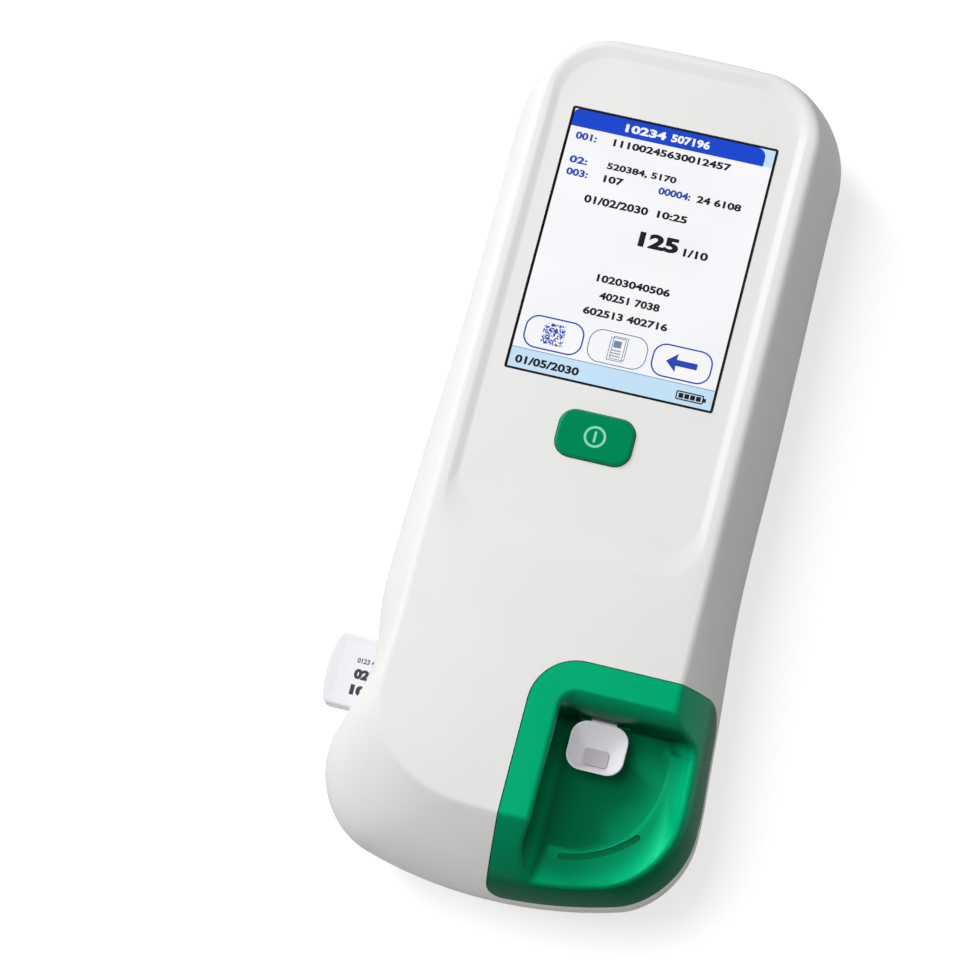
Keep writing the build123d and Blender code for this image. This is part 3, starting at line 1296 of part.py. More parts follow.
with BuildPart() as illumination_leds:
    for x in (STRIP_X - LAMP_DX, STRIP_X + LAMP_DX):
        for y in LAMP_YS:
            post((x, y), (optics_room_top_z - LAMP_T, optics_room_top_z), LAMP_R)
save(illumination_leds, "illumination_leds")

# Battery pack, its cells and the contacts in the bay
pack_y = (PACK_FOOT_Y, PACK_TOP_Y)
lid_z = (PACK_TOP_Z - PACK_LID_T, PACK_TOP_Z)
cell_z = BASE_Z + PACK_FACE_T + CELL_R
cell_xs = [(n - (CELL_COUNT - 1) / 2) * (2 * CELL_R + CELL_GAP) for n in range(CELL_COUNT)]
with BuildPart() as battery_case:
    slab((-PACK_HALF, PACK_HALF), pack_y, (BASE_Z, PACK_TOP_Z))
    fillet(battery_case.edges().filter_by(Axis.Z), PACK_EDGE_R)
    slab(
        (PACK_WALL - PACK_HALF, PACK_HALF - PACK_WALL),
        (PACK_FOOT_Y + PACK_WALL, PACK_TOP_Y - PACK_WALL),
        (BASE_Z + PACK_FACE_T, PACK_TOP_Z),
        mode=Mode.SUBTRACT,
    )
    for x in terminal_xs:
        slab(
            (x - TERMINAL_W / 2, x + TERMINAL_W / 2),
            (PACK_FOOT_Y, PACK_FOOT_Y + TERMINAL_T),
            TERMINAL_Z,
            mode=Mode.SUBTRACT,
        )
    post((0, PACK_TOP_Y), (BASE_Z, BASE_Z + PULL_DEPTH), PULL_R, mode=Mode.SUBTRACT)
save(battery_case, "battery_case")

with BuildPart() as battery_lid:
    slab(
        (PACK_WALL + SEAT_GAP - PACK_HALF, PACK_HALF - PACK_WALL - SEAT_GAP),
        (PACK_FOOT_Y + PACK_WALL + SEAT_GAP, PACK_TOP_Y - PACK_WALL - SEAT_GAP),
        lid_z,
    )
save(battery_lid, "battery_lid")

with BuildPart() as battery_cells:
    for x in cell_xs:
        with Locations((x, CELL_FOOT_Y + CELL_L / 2, cell_z)):
            Cylinder(CELL_R, CELL_L, rotation=(90, 0, 0))
save(battery_cells, "battery_cells")

with BuildPart() as battery_terminals:
    for x in terminal_xs:
        slab(
            (x - TERMINAL_W / 2, x + TERMINAL_W / 2), (PACK_FOOT_Y, PACK_FOOT_Y + TERMINAL_T), TERMINAL_Z
        )
save(battery_terminals, "battery_terminals")

contact_z = (TERMINAL_Z[0] + CONTACT_IN, TERMINAL_Z[1] - CONTACT_IN)
with BuildPart() as battery_connector:
    slab(
        (-PLUG_HALF, PLUG_HALF),
        plug_y,
        (TERMINAL_Z[0] - CONTACT_WINDOW_MARGIN, TERMINAL_Z[1] + CONTACT_WINDOW_MARGIN),
    )
    fillet(battery_connector.edges().filter_by(Axis.X).group_by(Axis.Z)[-1], BOARD_PART_EDGE)
save(battery_connector, "battery_connector")

with BuildPart() as bay_contacts:
    for x in terminal_xs:
        slab(
            (x - CONTACT_W / 2, x + CONTACT_W / 2), (plug_y[1], PACK_FOOT_Y - CONTACT_GAP), contact_z
        )
    noses = bay_contacts.edges().filter_by(Axis.X).group_by(Axis.Y)[-1]
    fillet(noses, CONTACT_NOSE_R)
save(bay_contacts, "bay_contacts")
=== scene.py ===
"""Looks of the hand-held immunoassay analyzer: finishes, the lit screen, printed marks and the studio.

Everything is in metres, in the frame of the CAD model. The reader lies on its back on the table.
"""

import json
from math import pi

import bmesh
import bpy
from bpy.props import FloatProperty, FloatVectorProperty, PointerProperty, StringProperty
from bpy.types import Operator, Panel, PropertyGroup
from mathutils import Matrix, Vector

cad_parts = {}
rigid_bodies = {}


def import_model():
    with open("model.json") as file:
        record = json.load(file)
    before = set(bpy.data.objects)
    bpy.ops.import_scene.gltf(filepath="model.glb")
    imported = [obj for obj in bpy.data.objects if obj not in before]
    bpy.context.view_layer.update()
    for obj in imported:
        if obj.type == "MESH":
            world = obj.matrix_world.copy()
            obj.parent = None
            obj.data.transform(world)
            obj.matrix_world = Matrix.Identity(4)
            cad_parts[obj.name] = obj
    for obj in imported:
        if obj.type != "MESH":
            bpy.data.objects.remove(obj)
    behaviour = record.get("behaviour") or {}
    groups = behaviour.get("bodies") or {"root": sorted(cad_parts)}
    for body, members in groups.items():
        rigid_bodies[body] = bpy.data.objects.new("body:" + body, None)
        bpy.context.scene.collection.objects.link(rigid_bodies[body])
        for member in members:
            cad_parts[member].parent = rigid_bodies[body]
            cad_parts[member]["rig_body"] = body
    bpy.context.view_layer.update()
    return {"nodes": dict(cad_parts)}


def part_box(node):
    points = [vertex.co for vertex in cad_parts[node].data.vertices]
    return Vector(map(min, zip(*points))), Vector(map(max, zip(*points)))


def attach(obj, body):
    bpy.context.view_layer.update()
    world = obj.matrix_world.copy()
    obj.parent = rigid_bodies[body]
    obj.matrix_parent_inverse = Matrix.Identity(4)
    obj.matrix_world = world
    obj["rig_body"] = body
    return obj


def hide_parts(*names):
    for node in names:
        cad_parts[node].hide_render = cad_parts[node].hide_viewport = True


bl_info = {
    "name": "Hand-held Analyzer Looks",
    "version": (1, 0, 0),
    "blender": (4, 5, 0),
    "location": "View3D > Sidebar > Analyzer",
    "description": "Finishes, screen picture and studio for the hand-held immunoassay analyzer",
    "category": "Object",
}

MM = 0.001
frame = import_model()
nodes = frame["nodes"]
window_low, window_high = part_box("display_window")
button_low, button_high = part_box("power_button")
label_low, label_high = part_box("code_chip_label")

# Floor: half its width, and the light of its own that it sends to the camera
FLOOR_HALF = 6.0
FLOOR_GLOW = 0.6
FLOOR_FIBRES = 1.2 * MM
FLOOR_SHADES = (0.99, 1.01)
# Share of the room's light that shines meet, so that colours stay deep
SHINE_SHARE = 0.4
# Lamps, by the names of their power settings: place, width, and whether they show in shines
LAMPS = {"key": ((-0.35, 0.0, 1.0), 0.6, False), "shine": ((-0.75, 0.5, 0.62), 0.4, True)}
# Camera: place, the directions to the right and upwards in its picture, and the width of its sensor
CAMERA_SPOT = Vector((123.9, -274.6, 1106.8)) * MM
CAMERA_RIGHT = Vector((0.965, 0.251, -0.077))
CAMERA_UP = Vector((-0.223, 0.939, 0.262))
CAMERA_SENSOR = 36.0

# Copies of CAD meshes: the distance at which loose corners merge, and the turn at which an edge stays sharp
MERGE = 0.002 * MM
SHARP_TURN = 0.6
# Steps of a rounded corner, of a ring, and of each curve of a digit
CORNER_STEPS = 8
RING_STEPS = 64
DIGIT_STEPS = 3
# Thickness of the print on the button and on the label
PRINT_COAT = 0.02 * MM
LABEL_INK = 0.01 * MM
# Corner radius of the sign's bar, as a share of half its width
BAR_ROUNDNESS = 0.9
# Rows of the label's print: digits, distance from the label's top edge, height and width in millimetres, and
# how much their strokes are thickened
LABEL_ROWS = (
    ("0123 456", 4.2, 1.5, 6.8, 0.03),
    ("025", 7.3, 3.0, 6.2, 0.07),
    ("104", 11.9, 3.0, 7.0, 0.07),
)


# Colours and shared values


def linear(text):
    """A linear colour with alpha from an sRGB hex value."""
    values = [int(text[i : i + 2], 16) / 255 for i in (1, 3, 5)]
    return [v / 12.92 if v <= 0.04045 else ((v + 0.055) / 1.055) ** 2.4 for v in values] + [1.0]


def shifted(colour, factor):
    """The same colour, lighter or darker by a factor."""
    return [min(v * factor, 1.0) for v in colour[:3]] + [1.0]


def tone(name, description, text):
    """A colour setting with an sRGB hex default."""
    return FloatVectorProperty(
        name=name, description=description, default=linear(text), size=4, min=0.0, max=1.0, subtype="COLOR"
    )


def length(name, description, size_mm):
    """A length setting whose default is given in millimetres."""
    return FloatProperty(name=name, description=description, default=size_mm * MM, min=0.0, unit="LENGTH")


# Materials

# Sockets of a colour mix: its share, its two colours and its result
SHARE, FIRST, SECOND, MIXED = 0, 6, 7, 2
# Sockets of a map range, and the values between which most of a noise lies
RANGE = ("From Min", "From Max", "To Min", "To Max")
NOISE_SPAN = (0.3, 0.7)
# Moulded plastic: its index of refraction, the distance between its paler places, and how deep and uneven its
# grain is
PLASTIC_IOR = 1.5
PLASTIC_DRIFT = 18 * MM
PLASTIC_DEPTH = 0.05 * MM
PLASTIC_SWING = 0.05
# Green piece: the heights between which the painted shade low in the pocket gives way to the plain colour,
# and the direction of the lamps that the painted light follows. Then, for faces turned away from there
# (painted shade) and faces turned to it (painted highlight): two values of that turn, the share of a face's
# own colour at each, and the factor of the painted colour that takes the rest.
PAINTED_SHADE_HEIGHTS = (35.2 * MM, 37.4 * MM)
PAINTED_LIGHT_SIDE = (-0.35, 0.75, 0.56)
PAINTED_SHADE_TURNS, PAINTED_SHADE_FACTOR = (-0.6, 0.35, 0.0, 1.0), 0.3
PAINTED_HIGHLIGHT_TURNS, PAINTED_HIGHLIGHT_FACTOR = (0.58, 0.74, 1.0, 0.15), 1.7
# Metal: factors of its two shades and the distance between them, and its lines' strength, depth and swing
METAL_SHADES = (0.82, 1.05)
METAL_DRIFT = 6 * MM
METAL_BUMP = 0.2
METAL_DEPTH = 0.02 * MM
METAL_SWING = 0.08
# Circuit board: kind of cell, its width and disorder, and where its line or dot ends. Real tracks are finer,
# and these are coarse enough to show.
TRACK_CELLS = ("DISTANCE_TO_EDGE", 2.6 * MM, 0.75, (0.05, 0.09))
HOLE_CELLS = ("F1", 3.9 * MM, 0.9, (0.07, 0.10))
HOLE_PLATING = "#C9A45A"
BOARD_WEAVE = 0.5 * MM
BOARD_ROUGHNESS = (0.3, 0.45)
# Relief of tracks on boards and ribbons
TRACK_BUMP = 0.3
TRACK_DEPTH = 0.03 * MM
# Ribbon: the length of one band at a scale of 1, where a track's edge lies in it, and its haze
BAND_LENGTH = 0.314
BAND_EDGE = (0.5, 0.65)
RIBBON_HAZE = 1.5 * MM
RIBBON_ROUGHNESS = (0.25, 0.4)
# Fibres: the depth of their tufts and how dull they are
TUFT_DEPTH = 0.12 * MM
TUFT_ROUGHNESS = (0.8, 0.95)
# Clear plastic: the factor of its hazy places' shade, and how much rougher they are
HAZE_SHADE = 0.94
HAZE_SWING = 0.04
# Factors that make one colour from another: the label paper's and the fleece's darker places, tracks under
# the mask, small black parts, and the picture's thin rule
PAPER_SHADE = 0.96
FLEECE_SHADE = 0.86
TRACK_SHADE = 1.9
SMALL_PART_SHADE = 1.2
RULE_SHADE = 1.3
# Lit picture: factors of every second pixel and of the lines between pixels, the width of these lines, and
# the dimmest and brightest light with the distance between them
PIXEL_SHADE = 0.985
PIXEL_LINE_SHADE = 0.93
PIXEL_LINE = 0.05
GLOW_SPAN = (0.97, 1.02)
GLOW_DRIFT = 22 * MM
# Share of the code square's cells that stay light
LIGHT_CELLS = 0.48
# Glass over the picture: near black under its shine
DARK_GLASS = {"Base Color": (0.012, 0.012, 0.014, 1.0), "Roughness": 0.16}


def add_node(tree, kind, settings=(), links=()):
    """Add a node. Settings name its properties or its sockets, and links pair a socket with an output."""
    node = tree.nodes.new(kind)
    for key, value in dict(settings).items():
        if isinstance(key, str) and hasattr(node, key):
            setattr(node, key, value)
        else:
            node.inputs[key].default_value = value
    for socket, output in dict(links).items():
        tree.links.new(output, node.inputs[socket])
    return node


def start_material(name):
    """An empty material with its node tree and the object's coordinates."""
    material = bpy.data.materials.new(name)
    material.use_nodes = True
    tree = material.node_tree
    tree.nodes.clear()
    place = add_node(tree, "ShaderNodeTexCoord")
    return material, tree, place.outputs["Object"]


def finish_material(tree, settings, links):
    """Join a shader with these settings and links to the material's output."""
    shader = add_node(tree, "ShaderNodeBsdfPrincipled", settings, links)
    add_node(tree, "ShaderNodeOutputMaterial", {}, {"Surface": shader.outputs[0]})


def drifting(tree, place, shades, size, detail=3.0, roughness=0.6):
    """A shade that drifts between two colours over a distance, and the pattern that it follows."""
    settings = {"Scale": 1 / size, "Detail": detail, "Roughness": roughness}
    pattern = add_node(tree, "ShaderNodeTexNoise", settings, {"Vector": place}).outputs["Fac"]
    colours = {"data_type": "RGBA", FIRST: shades[0], SECOND: shades[1]}
    return add_node(tree, "ShaderNodeMix", colours, {SHARE: pattern}).outputs[MIXED], pattern


def grained(tree, place, size, roughness, bump, depth, pattern=None):
    """Roughness between two values that follows a fine grain, and a relief of that grain or of a pattern."""
    settings = {"Scale": 1 / size, "Detail": 3.0, "Roughness": 0.6}
    grain = add_node(tree, "ShaderNodeTexNoise", settings, {"Vector": place}).outputs["Fac"]
    ends = dict(zip(RANGE, (*NOISE_SPAN, *roughness)))
    rough = add_node(tree, "ShaderNodeMapRange", ends, {"Value": grain})
    height = grain if pattern is None else pattern
    dents = add_node(tree, "ShaderNodeBump", {"Strength": bump, "Distance": depth}, {"Height": height})
    return {"Roughness": rough.outputs[0], "Normal": dents.outputs[0]}


def painted_shade_and_highlight(tree, place, shade, colour, painted_shade_colour):
    """Painted shade low down and on faces turned away, and a painted highlight on faces turned the other way.
    """
    height = add_node(tree, "ShaderNodeSeparateXYZ", {}, {0: place}).outputs[2]
    normal = add_node(tree, "ShaderNodeNewGeometry").outputs["Normal"]
    settings = {"operation": "DOT_PRODUCT", 1: PAINTED_LIGHT_SIDE}
    facing = add_node(tree, "ShaderNodeVectorMath", settings, {0: normal}).outputs["Value"]
    # Painted shade by height, painted shade on faces turned away, then a painted highlight on faces turned to
    # it
    for value, ends, tint in (
        (height, (*PAINTED_SHADE_HEIGHTS, 0.0, 1.0), painted_shade_colour),
        (facing, PAINTED_SHADE_TURNS, shifted(painted_shade_colour, PAINTED_SHADE_FACTOR)),
        (facing, PAINTED_HIGHLIGHT_TURNS, shifted(colour, PAINTED_HIGHLIGHT_FACTOR)),
    ):
        left = add_node(tree, "ShaderNodeMapRange", dict(zip(RANGE, ends)), {"Value": value}).outputs[0]
        links = {SHARE: left, SECOND: shade}
        shade = add_node(tree, "ShaderNodeMix", {"data_type": "RGBA", FIRST: tint}, links).outputs[MIXED]
    return shade


def moulded(name, colour, *, roughness, grain, bump=0.1, contrast=0.02, painted_shade_colour=None, settings=()):
    """Moulded plastic or rubber: a faint drift of shade, and the fine matt grain that the mould leaves.

    A painted shade colour, when given, paints shade low in the pocket and a highlight on faces turned to the
    lamps.
    """
    material, tree, place = start_material(name)
    shades = (shifted(colour, 1 - contrast), shifted(colour, 1 + contrast))
    shade, _ = drifting(tree, place, shades, PLASTIC_DRIFT, detail=2.0, roughness=0.5)
    # Painted shade and a painted highlight in the pocket
    if painted_shade_colour:
        shade = painted_shade_and_highlight(tree, place, shade, colour, painted_shade_colour)
    ends = (roughness - PLASTIC_SWING, roughness + PLASTIC_SWING)
    surface = grained(tree, place, grain, ends, bump, PLASTIC_DEPTH)
    finish_material(tree, {"IOR": PLASTIC_IOR, **dict(settings)}, {"Base Color": shade, **surface})
    return material


def metal(name, colour, *, roughness, grain, stretch=(1.0, 1.0, 1.0)):
    """Plain metal: its shade drifts with rolling or plating, and fine lines or grains break its shine."""
    material, tree, place = start_material(name)
    along = add_node(tree, "ShaderNodeMapping", {"Scale": stretch}, {"Vector": place}).outputs[0]
    shade, _ = drifting(tree, place, [shifted(colour, factor) for factor in METAL_SHADES], METAL_DRIFT)
    ends = (roughness - METAL_SWING, roughness + METAL_SWING)
    surface = grained(tree, along, grain, ends, METAL_BUMP, METAL_DEPTH)
    finish_material(tree, {"Metallic": 1.0}, {"Base Color": shade, **surface})
    return material


def circuit(name, mask, track):
    """Glass-fibre board under solder mask: copper tracks show through as paler lines, with plated dots."""
    material, tree, place = start_material(name)
    patterns = []
    for feature, width, disorder, edge in (TRACK_CELLS, HOLE_CELLS):
        settings = {"feature": feature, "Scale": 1 / width, "Randomness": disorder}
        cells = add_node(tree, "ShaderNodeTexVoronoi", settings, {"Vector": place})
        ends = dict(zip(RANGE, (*edge, 1.0, 0.0)))
        marks = add_node(tree, "ShaderNodeMapRange", ends, {"Value": cells.outputs["Distance"]})
        patterns.append(marks.outputs[0])
    tracks, holes = patterns
    colours = {"data_type": "RGBA", FIRST: mask, SECOND: track}
    shade = add_node(tree, "ShaderNodeMix", colours, {SHARE: tracks}).outputs[MIXED]
    colours = {"data_type": "RGBA", SECOND: linear(HOLE_PLATING)}
    shade = add_node(tree, "ShaderNodeMix", colours, {SHARE: holes, FIRST: shade}).outputs[MIXED]
    surface = grained(tree, place, BOARD_WEAVE, BOARD_ROUGHNESS, TRACK_BUMP, TRACK_DEPTH, tracks)
    coat = {"Coat Weight": 0.3, "Coat Roughness": 0.2}
    finish_material(tree, coat, {"Base Color": shade, "Metallic": holes, **surface})
    return material


def ribbon(name, film, track, *, pitch, axis="X"):
    """Flat cable or foil: a glossy film with even conductor tracks across one axis."""
    material, tree, place = start_material(name)
    settings = {
        "wave_type": "BANDS",
        "bands_direction": axis,
        "Scale": BAND_LENGTH / pitch,
        "Distortion": 0.0,
    }
    bands = add_node(tree, "ShaderNodeTexWave", settings, {"Vector": place}).outputs["Fac"]
    ends = dict(zip(RANGE, (*BAND_EDGE, 0.0, 1.0)))
    tracks = add_node(tree, "ShaderNodeMapRange", ends, {"Value": bands}).outputs[0]
    colours = {"data_type": "RGBA", FIRST: film, SECOND: track}
    shade = add_node(tree, "ShaderNodeMix", colours, {SHARE: tracks}).outputs[MIXED]
    surface = grained(tree, place, RIBBON_HAZE, RIBBON_ROUGHNESS, TRACK_BUMP, TRACK_DEPTH, bands)
    finish_material(tree, {"Coat Weight": 0.4, "Coat Roughness": 0.15}, {"Base Color": shade, **surface})
    return material


def fibrous(name, low, high, *, fibre, bump):
    """Felted or cast fibre: mottled shade, no shine and a soft broken surface."""
    material, tree, place = start_material(name)
    settings = {"Scale": 1 / fibre, "Detail": 6.0, "Roughness": 0.75}
    tufts = add_node(tree, "ShaderNodeTexNoise", settings, {"Vector": place}).outputs["Fac"]
    ends = dict(zip(RANGE, (*NOISE_SPAN, 0.0, 1.0)))
    share = add_node(tree, "ShaderNodeMapRange", ends, {"Value": tufts}).outputs[0]
    colours = {"data_type": "RGBA", FIRST: low, SECOND: high}
    shade = add_node(tree, "ShaderNodeMix", colours, {SHARE: share}).outputs[MIXED]
    ends = dict(zip(RANGE, (*NOISE_SPAN, *TUFT_ROUGHNESS)))
    rough = add_node(tree, "ShaderNodeMapRange", ends, {"Value": tufts}).outputs[0]
    relief = {"Strength": bump, "Distance": TUFT_DEPTH}
    dents = add_node(tree, "ShaderNodeBump", relief, {"Height": tufts}).outputs[0]
    links = {"Base Color": shade, "Roughness": rough, "Normal": dents}
    finish_material(tree, {"Specular IOR Level": 0.15}, links)
    return material


def clear(name, colour, *, roughness, ior, haze_size):
    """Clear optical material with a trace of haze from polishing or moulding."""
    material, tree, place = start_material(name)
    shade, haze = drifting(tree, place, (shifted(colour, HAZE_SHADE), colour), haze_size)
    ends = dict(zip(RANGE, (*NOISE_SPAN, roughness, roughness + HAZE_SWING)))
    rough = add_node(tree, "ShaderNodeMapRange", ends, {"Value": haze}).outputs[0]
    links = {"Base Color": shade, "Roughness": rough}
    finish_material(tree, {"IOR": ior, "Transmission Weight": 0.85}, links)
    return material


def lit(name, colour, glow, pitch):
    """Lit picture under glass: even light, darker lines between its pixels, and the glass's own shine."""
    material, tree, place = start_material(name)
    pixels = {
        "offset": 0.0,
        "Color1": colour,
        "Color2": shifted(colour, PIXEL_SHADE),
        "Mortar": shifted(colour, PIXEL_LINE_SHADE),
        "Scale": 1 / pitch,
        "Mortar Size": PIXEL_LINE,
        "Brick Width": 1.0,
        "Row Height": 1.0,
    }
    grid = add_node(tree, "ShaderNodeTexBrick", pixels, {"Vector": place}).outputs["Color"]
    settings = {"Scale": 1 / GLOW_DRIFT, "Detail": 1.0, "Roughness": 0.6}
    slow = add_node(tree, "ShaderNodeTexNoise", settings, {"Vector": place}).outputs["Fac"]
    ends = dict(zip(RANGE, (*NOISE_SPAN, *(glow * factor for factor in GLOW_SPAN))))
    light = add_node(tree, "ShaderNodeMapRange", ends, {"Value": slow}).outputs[0]
    links = {"Emission Color": grid, "Emission Strength": light}
    finish_material(tree, {**DARK_GLASS, "Specular IOR Level": 0.25}, links)
    return material


def code_grid(name, ink, ground, cell, glow):
    """Random square cells of ink on the lit ground, as a two-way bar code looks from afar."""
    material, tree, place = start_material(name)
    settings = {"operation": "SNAP", 1: (cell, cell, 1.0)}
    snapped = add_node(tree, "ShaderNodeVectorMath", settings, {0: place}).outputs[0]
    random = add_node(tree, "ShaderNodeTexWhiteNoise", {"noise_dimensions": "3D"}, {"Vector": snapped})
    settings = {"operation": "GREATER_THAN", 1: LIGHT_CELLS}
    dark = add_node(tree, "ShaderNodeMath", settings, {0: random.outputs["Value"]}).outputs[0]
    colours = {"data_type": "RGBA", FIRST: ground, SECOND: ink}
    cells = add_node(tree, "ShaderNodeMix", colours, {SHARE: dark}).outputs[MIXED]
    finish_material(tree, {**DARK_GLASS, "Emission Strength": glow}, {"Emission Color": cells})
    return material


# Pieces


def paint(piece, material):
    """Give a piece one material over all its faces."""
    piece.data.materials.clear()
    piece.data.materials.append(material)
    for face in piece.data.polygons:
        face.material_index = 0


def finish_nodes(names, material):
    """Give CAD nodes that keep their own mesh a material."""
    for name in names:
        paint(nodes[name], material)


def finish_skins(names, material):
    """Replace CAD nodes by smooth copies and give these a material."""
    for name in names:
        paint(smoothed(name), material)


def new_piece(name, mesh, body, material=None):
    """Link a finished bmesh as a piece that rides on a body."""
    data = bpy.data.meshes.new(name)
    mesh.to_mesh(data)
    mesh.free()
    piece = bpy.data.objects.new(name, data)
    bpy.context.scene.collection.objects.link(piece)
    if material is not None:
        paint(piece, material)
    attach(piece, body)
    return piece


def smoothed(node):
    """A copy of a CAD node with its loose triangles merged and its curved faces shaded smooth."""
    source = nodes[node]
    mesh = bmesh.new()
    mesh.from_mesh(source.data)
    bmesh.ops.remove_doubles(mesh, verts=mesh.verts, dist=MERGE)
    for face in mesh.faces:
        face.smooth = True
    for edge in mesh.edges:
        edge.smooth = len(edge.link_faces) == 2 and edge.calc_face_angle(pi) < SHARP_TURN
    piece = new_piece(node + "_skin", mesh, source["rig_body"])
    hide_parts(node)
    return piece


def face_up(faces):
    """Turn flat faces so that they look upwards."""
    for face in faces:
        face.normal_update()
        if face.normal.z < 0:
            face.normal_flip()


def flat_piece(mesh, points, z):
    """Add one upward face with these corners at a height."""
    face = mesh.faces.new([mesh.verts.new((x, y, z)) for x, y in points])
    face_up([face])
    return face


def rounded(mesh, corners, radius):
    """Round corners of a flat face."""
    bmesh.ops.bevel(
        mesh,
        geom=corners,
        offset=radius,
        segments=CORNER_STEPS,
        profile=0.5,
        affect="VERTICES",
        material=-1,
    )


def join(mesh, other):
    """Move one bmesh's faces into another."""
    data = bpy.data.meshes.new("joining")
    other.to_mesh(data)
    other.free()
    mesh.from_mesh(data)
    bpy.data.meshes.remove(data)


def plate(mesh, box, z, radius=0.0, line=0.0):
    """A flat plate between two limits on x and y, with round corners, or only its border line."""
    x0, x1, y0, y1 = box
    single = bmesh.new()
    flat_piece(single, ((x0, y0), (x1, y0), (x1, y1), (x0, y1)), z)
    if radius:
        rounded(single, list(single.verts), radius)
    if line:
        inner = list(single.faces)
        bmesh.ops.inset_region(single, faces=inner, thickness=line, depth=0.0, use_boundary=True)
        bmesh.ops.delete(single, geom=inner, context="FACES_ONLY")
    join(mesh, single)


def digits(mesh, text, box, z, weight=0.04):
    """Plain digits that fill a box, as flat faces. Weight thickens their strokes."""
    x0, x1, y0, y1 = box
    curve = bpy.data.curves.new("digits", "FONT")
    curve.body = text
    curve.resolution_u = DIGIT_STEPS
    curve.offset = weight
    holder = bpy.data.objects.new("digits", curve)
    data = bpy.data.meshes.new_from_object(holder)
    xs = [v.co.x for v in data.vertices]
    ys = [v.co.y for v in data.vertices]
    first_x, first_y = min(xs), min(ys)
    wide = (x1 - x0) / (max(xs) - first_x)
    tall = (y1 - y0) / (max(ys) - first_y)
    single = bmesh.new()
    single.from_mesh(data)
    for vert in single.verts:
        vert.co = ((vert.co.x - first_x) * wide + x0, (vert.co.y - first_y) * tall + y0, z)
    face_up(single.faces)
    join(mesh, single)
    bpy.data.objects.remove(holder)
    bpy.data.curves.remove(curve)
    bpy.data.meshes.remove(data)


def ring(mesh, centre, inner, outer, z):
    """A flat round ring, from one edge that is spun round its centre."""
    ends = [mesh.verts.new((centre[0] + radius, centre[1], z)) for radius in (inner, outer)]
    edge = mesh.edges.new(ends)
    bmesh.ops.spin(
        mesh,
        geom=[*ends, edge],
        cent=(*centre, z),
        axis=(0.0, 0.0, 1.0),
        angle=2 * pi,
        steps=RING_STEPS,
        use_merge=True,
    )
    face_up(mesh.faces)


# Settings


class AnalyzerStage(PropertyGroup):
    """Camera and light sizes."""

    lens: FloatProperty(
        name="Lens", description="Focal length of the camera", default=150.0, subtype="DISTANCE_CAMERA"
    )
    key: FloatProperty(name="Key light", description="Power of the large light", default=5.2, unit="POWER")
    shine: FloatProperty(
        name="Low light", description="Power of the low light at the left", default=5.4, unit="POWER"
    )
    sky: FloatProperty(name="Room light", description="Strength of the even light", default=0.28, min=0.0)
    floor: tone("Floor", "Colour of the pale floor", "#DCDCDC")


class AnalyzerHousing(PropertyGroup):
    """Colours and grain of the outer plastic."""

    shell: tone("Shell", "Colour of the white shells", "#EDEDEB")
    green: tone("Green", "Colour of the green piece", "#00B076")
    # Colour painted as shade low in the strip pocket and on its faces turned away from the lamps
    painted_shade_colour: tone("Deep green", "Colour of the polished floor of the strip pocket", "#006E45")
    button: tone("Button", "Colour of the power button", "#008A59")
    shine: tone("Green shine", "Tint of the shine on the green plastic", "#50FFC8")
    grain: length("Grain", "Size of the matt grain on the shells", 0.35)


class AnalyzerDisplay(PropertyGroup):
    """Colours, sizes and numbers of the lit picture."""

    border: tone("Border", "Colour printed round the picture", "#08090A")
    ground: tone("Ground", "Colour of the picture's ground", "#F8F8FB")
    title: tone("Title", "Colour of the title bar", "#0042CC")
    bar: tone("Bar", "Colour of the status bar", "#C4E2F8")
    ink: tone("Ink", "Colour of the dark numbers", "#101014")
    blue: tone("Blue", "Colour of the blue numbers and signs", "#1C46B4")
    dim: tone("Dim", "Colour of the sign that is switched off", "#6E8CA6")
    glow: FloatProperty(name="Glow", description="Strength of the picture's light", default=1.0, min=0.0)
    pixel: length("Pixel", "Distance between pixels", 0.24)
    layer: length("Layer", "Distance between the layers of the picture", 0.01)
    result: StringProperty(name="Result", description="Large number in the middle", default="125")


class AnalyzerButton(PropertyGroup):
    """Sign on the power button."""

    sign: tone("Sign", "Colour of the printed ring and bar", "#8FE0BE")
    outer: length("Ring", "Outer radius of the ring", 3.1)
    line: length("Line", "Width of the ring's line and of the bar", 0.68)
    bar: length("Bar", "Length of the bar", 3.3)


class AnalyzerChip(PropertyGroup):
    """Code chip and its label."""

    paper: tone("Paper", "Colour of the label", "#E9EAEE")
    print_ink: tone("Print", "Colour of the label's print", "#3A3C44")
    margin: length("Margin", "Distance of the print from the label's outer edge", 4.4)


class AnalyzerStrip(PropertyGroup):
    """Test strip and its pad."""

    carrier: tone("Carrier", "Colour of the strip's plastic", "#EEEDF1")
    pad: tone("Pad", "Colour of the sample pad", "#C9C2CC")


class AnalyzerInside(PropertyGroup):
    """Colours of the inner parts."""

    board: tone("Board", "Colour of the solder mask", "#0E4A2A")
    plastic: tone("Plastic", "Colour of the black inner plastic", "#17181A")
    gilt: tone("Gilt", "Colour of the gilt contacts", "#D9B060")
    wrap: tone("Wrap", "Colour of the battery cells' wrap", "#1F6B4A")


# Steps


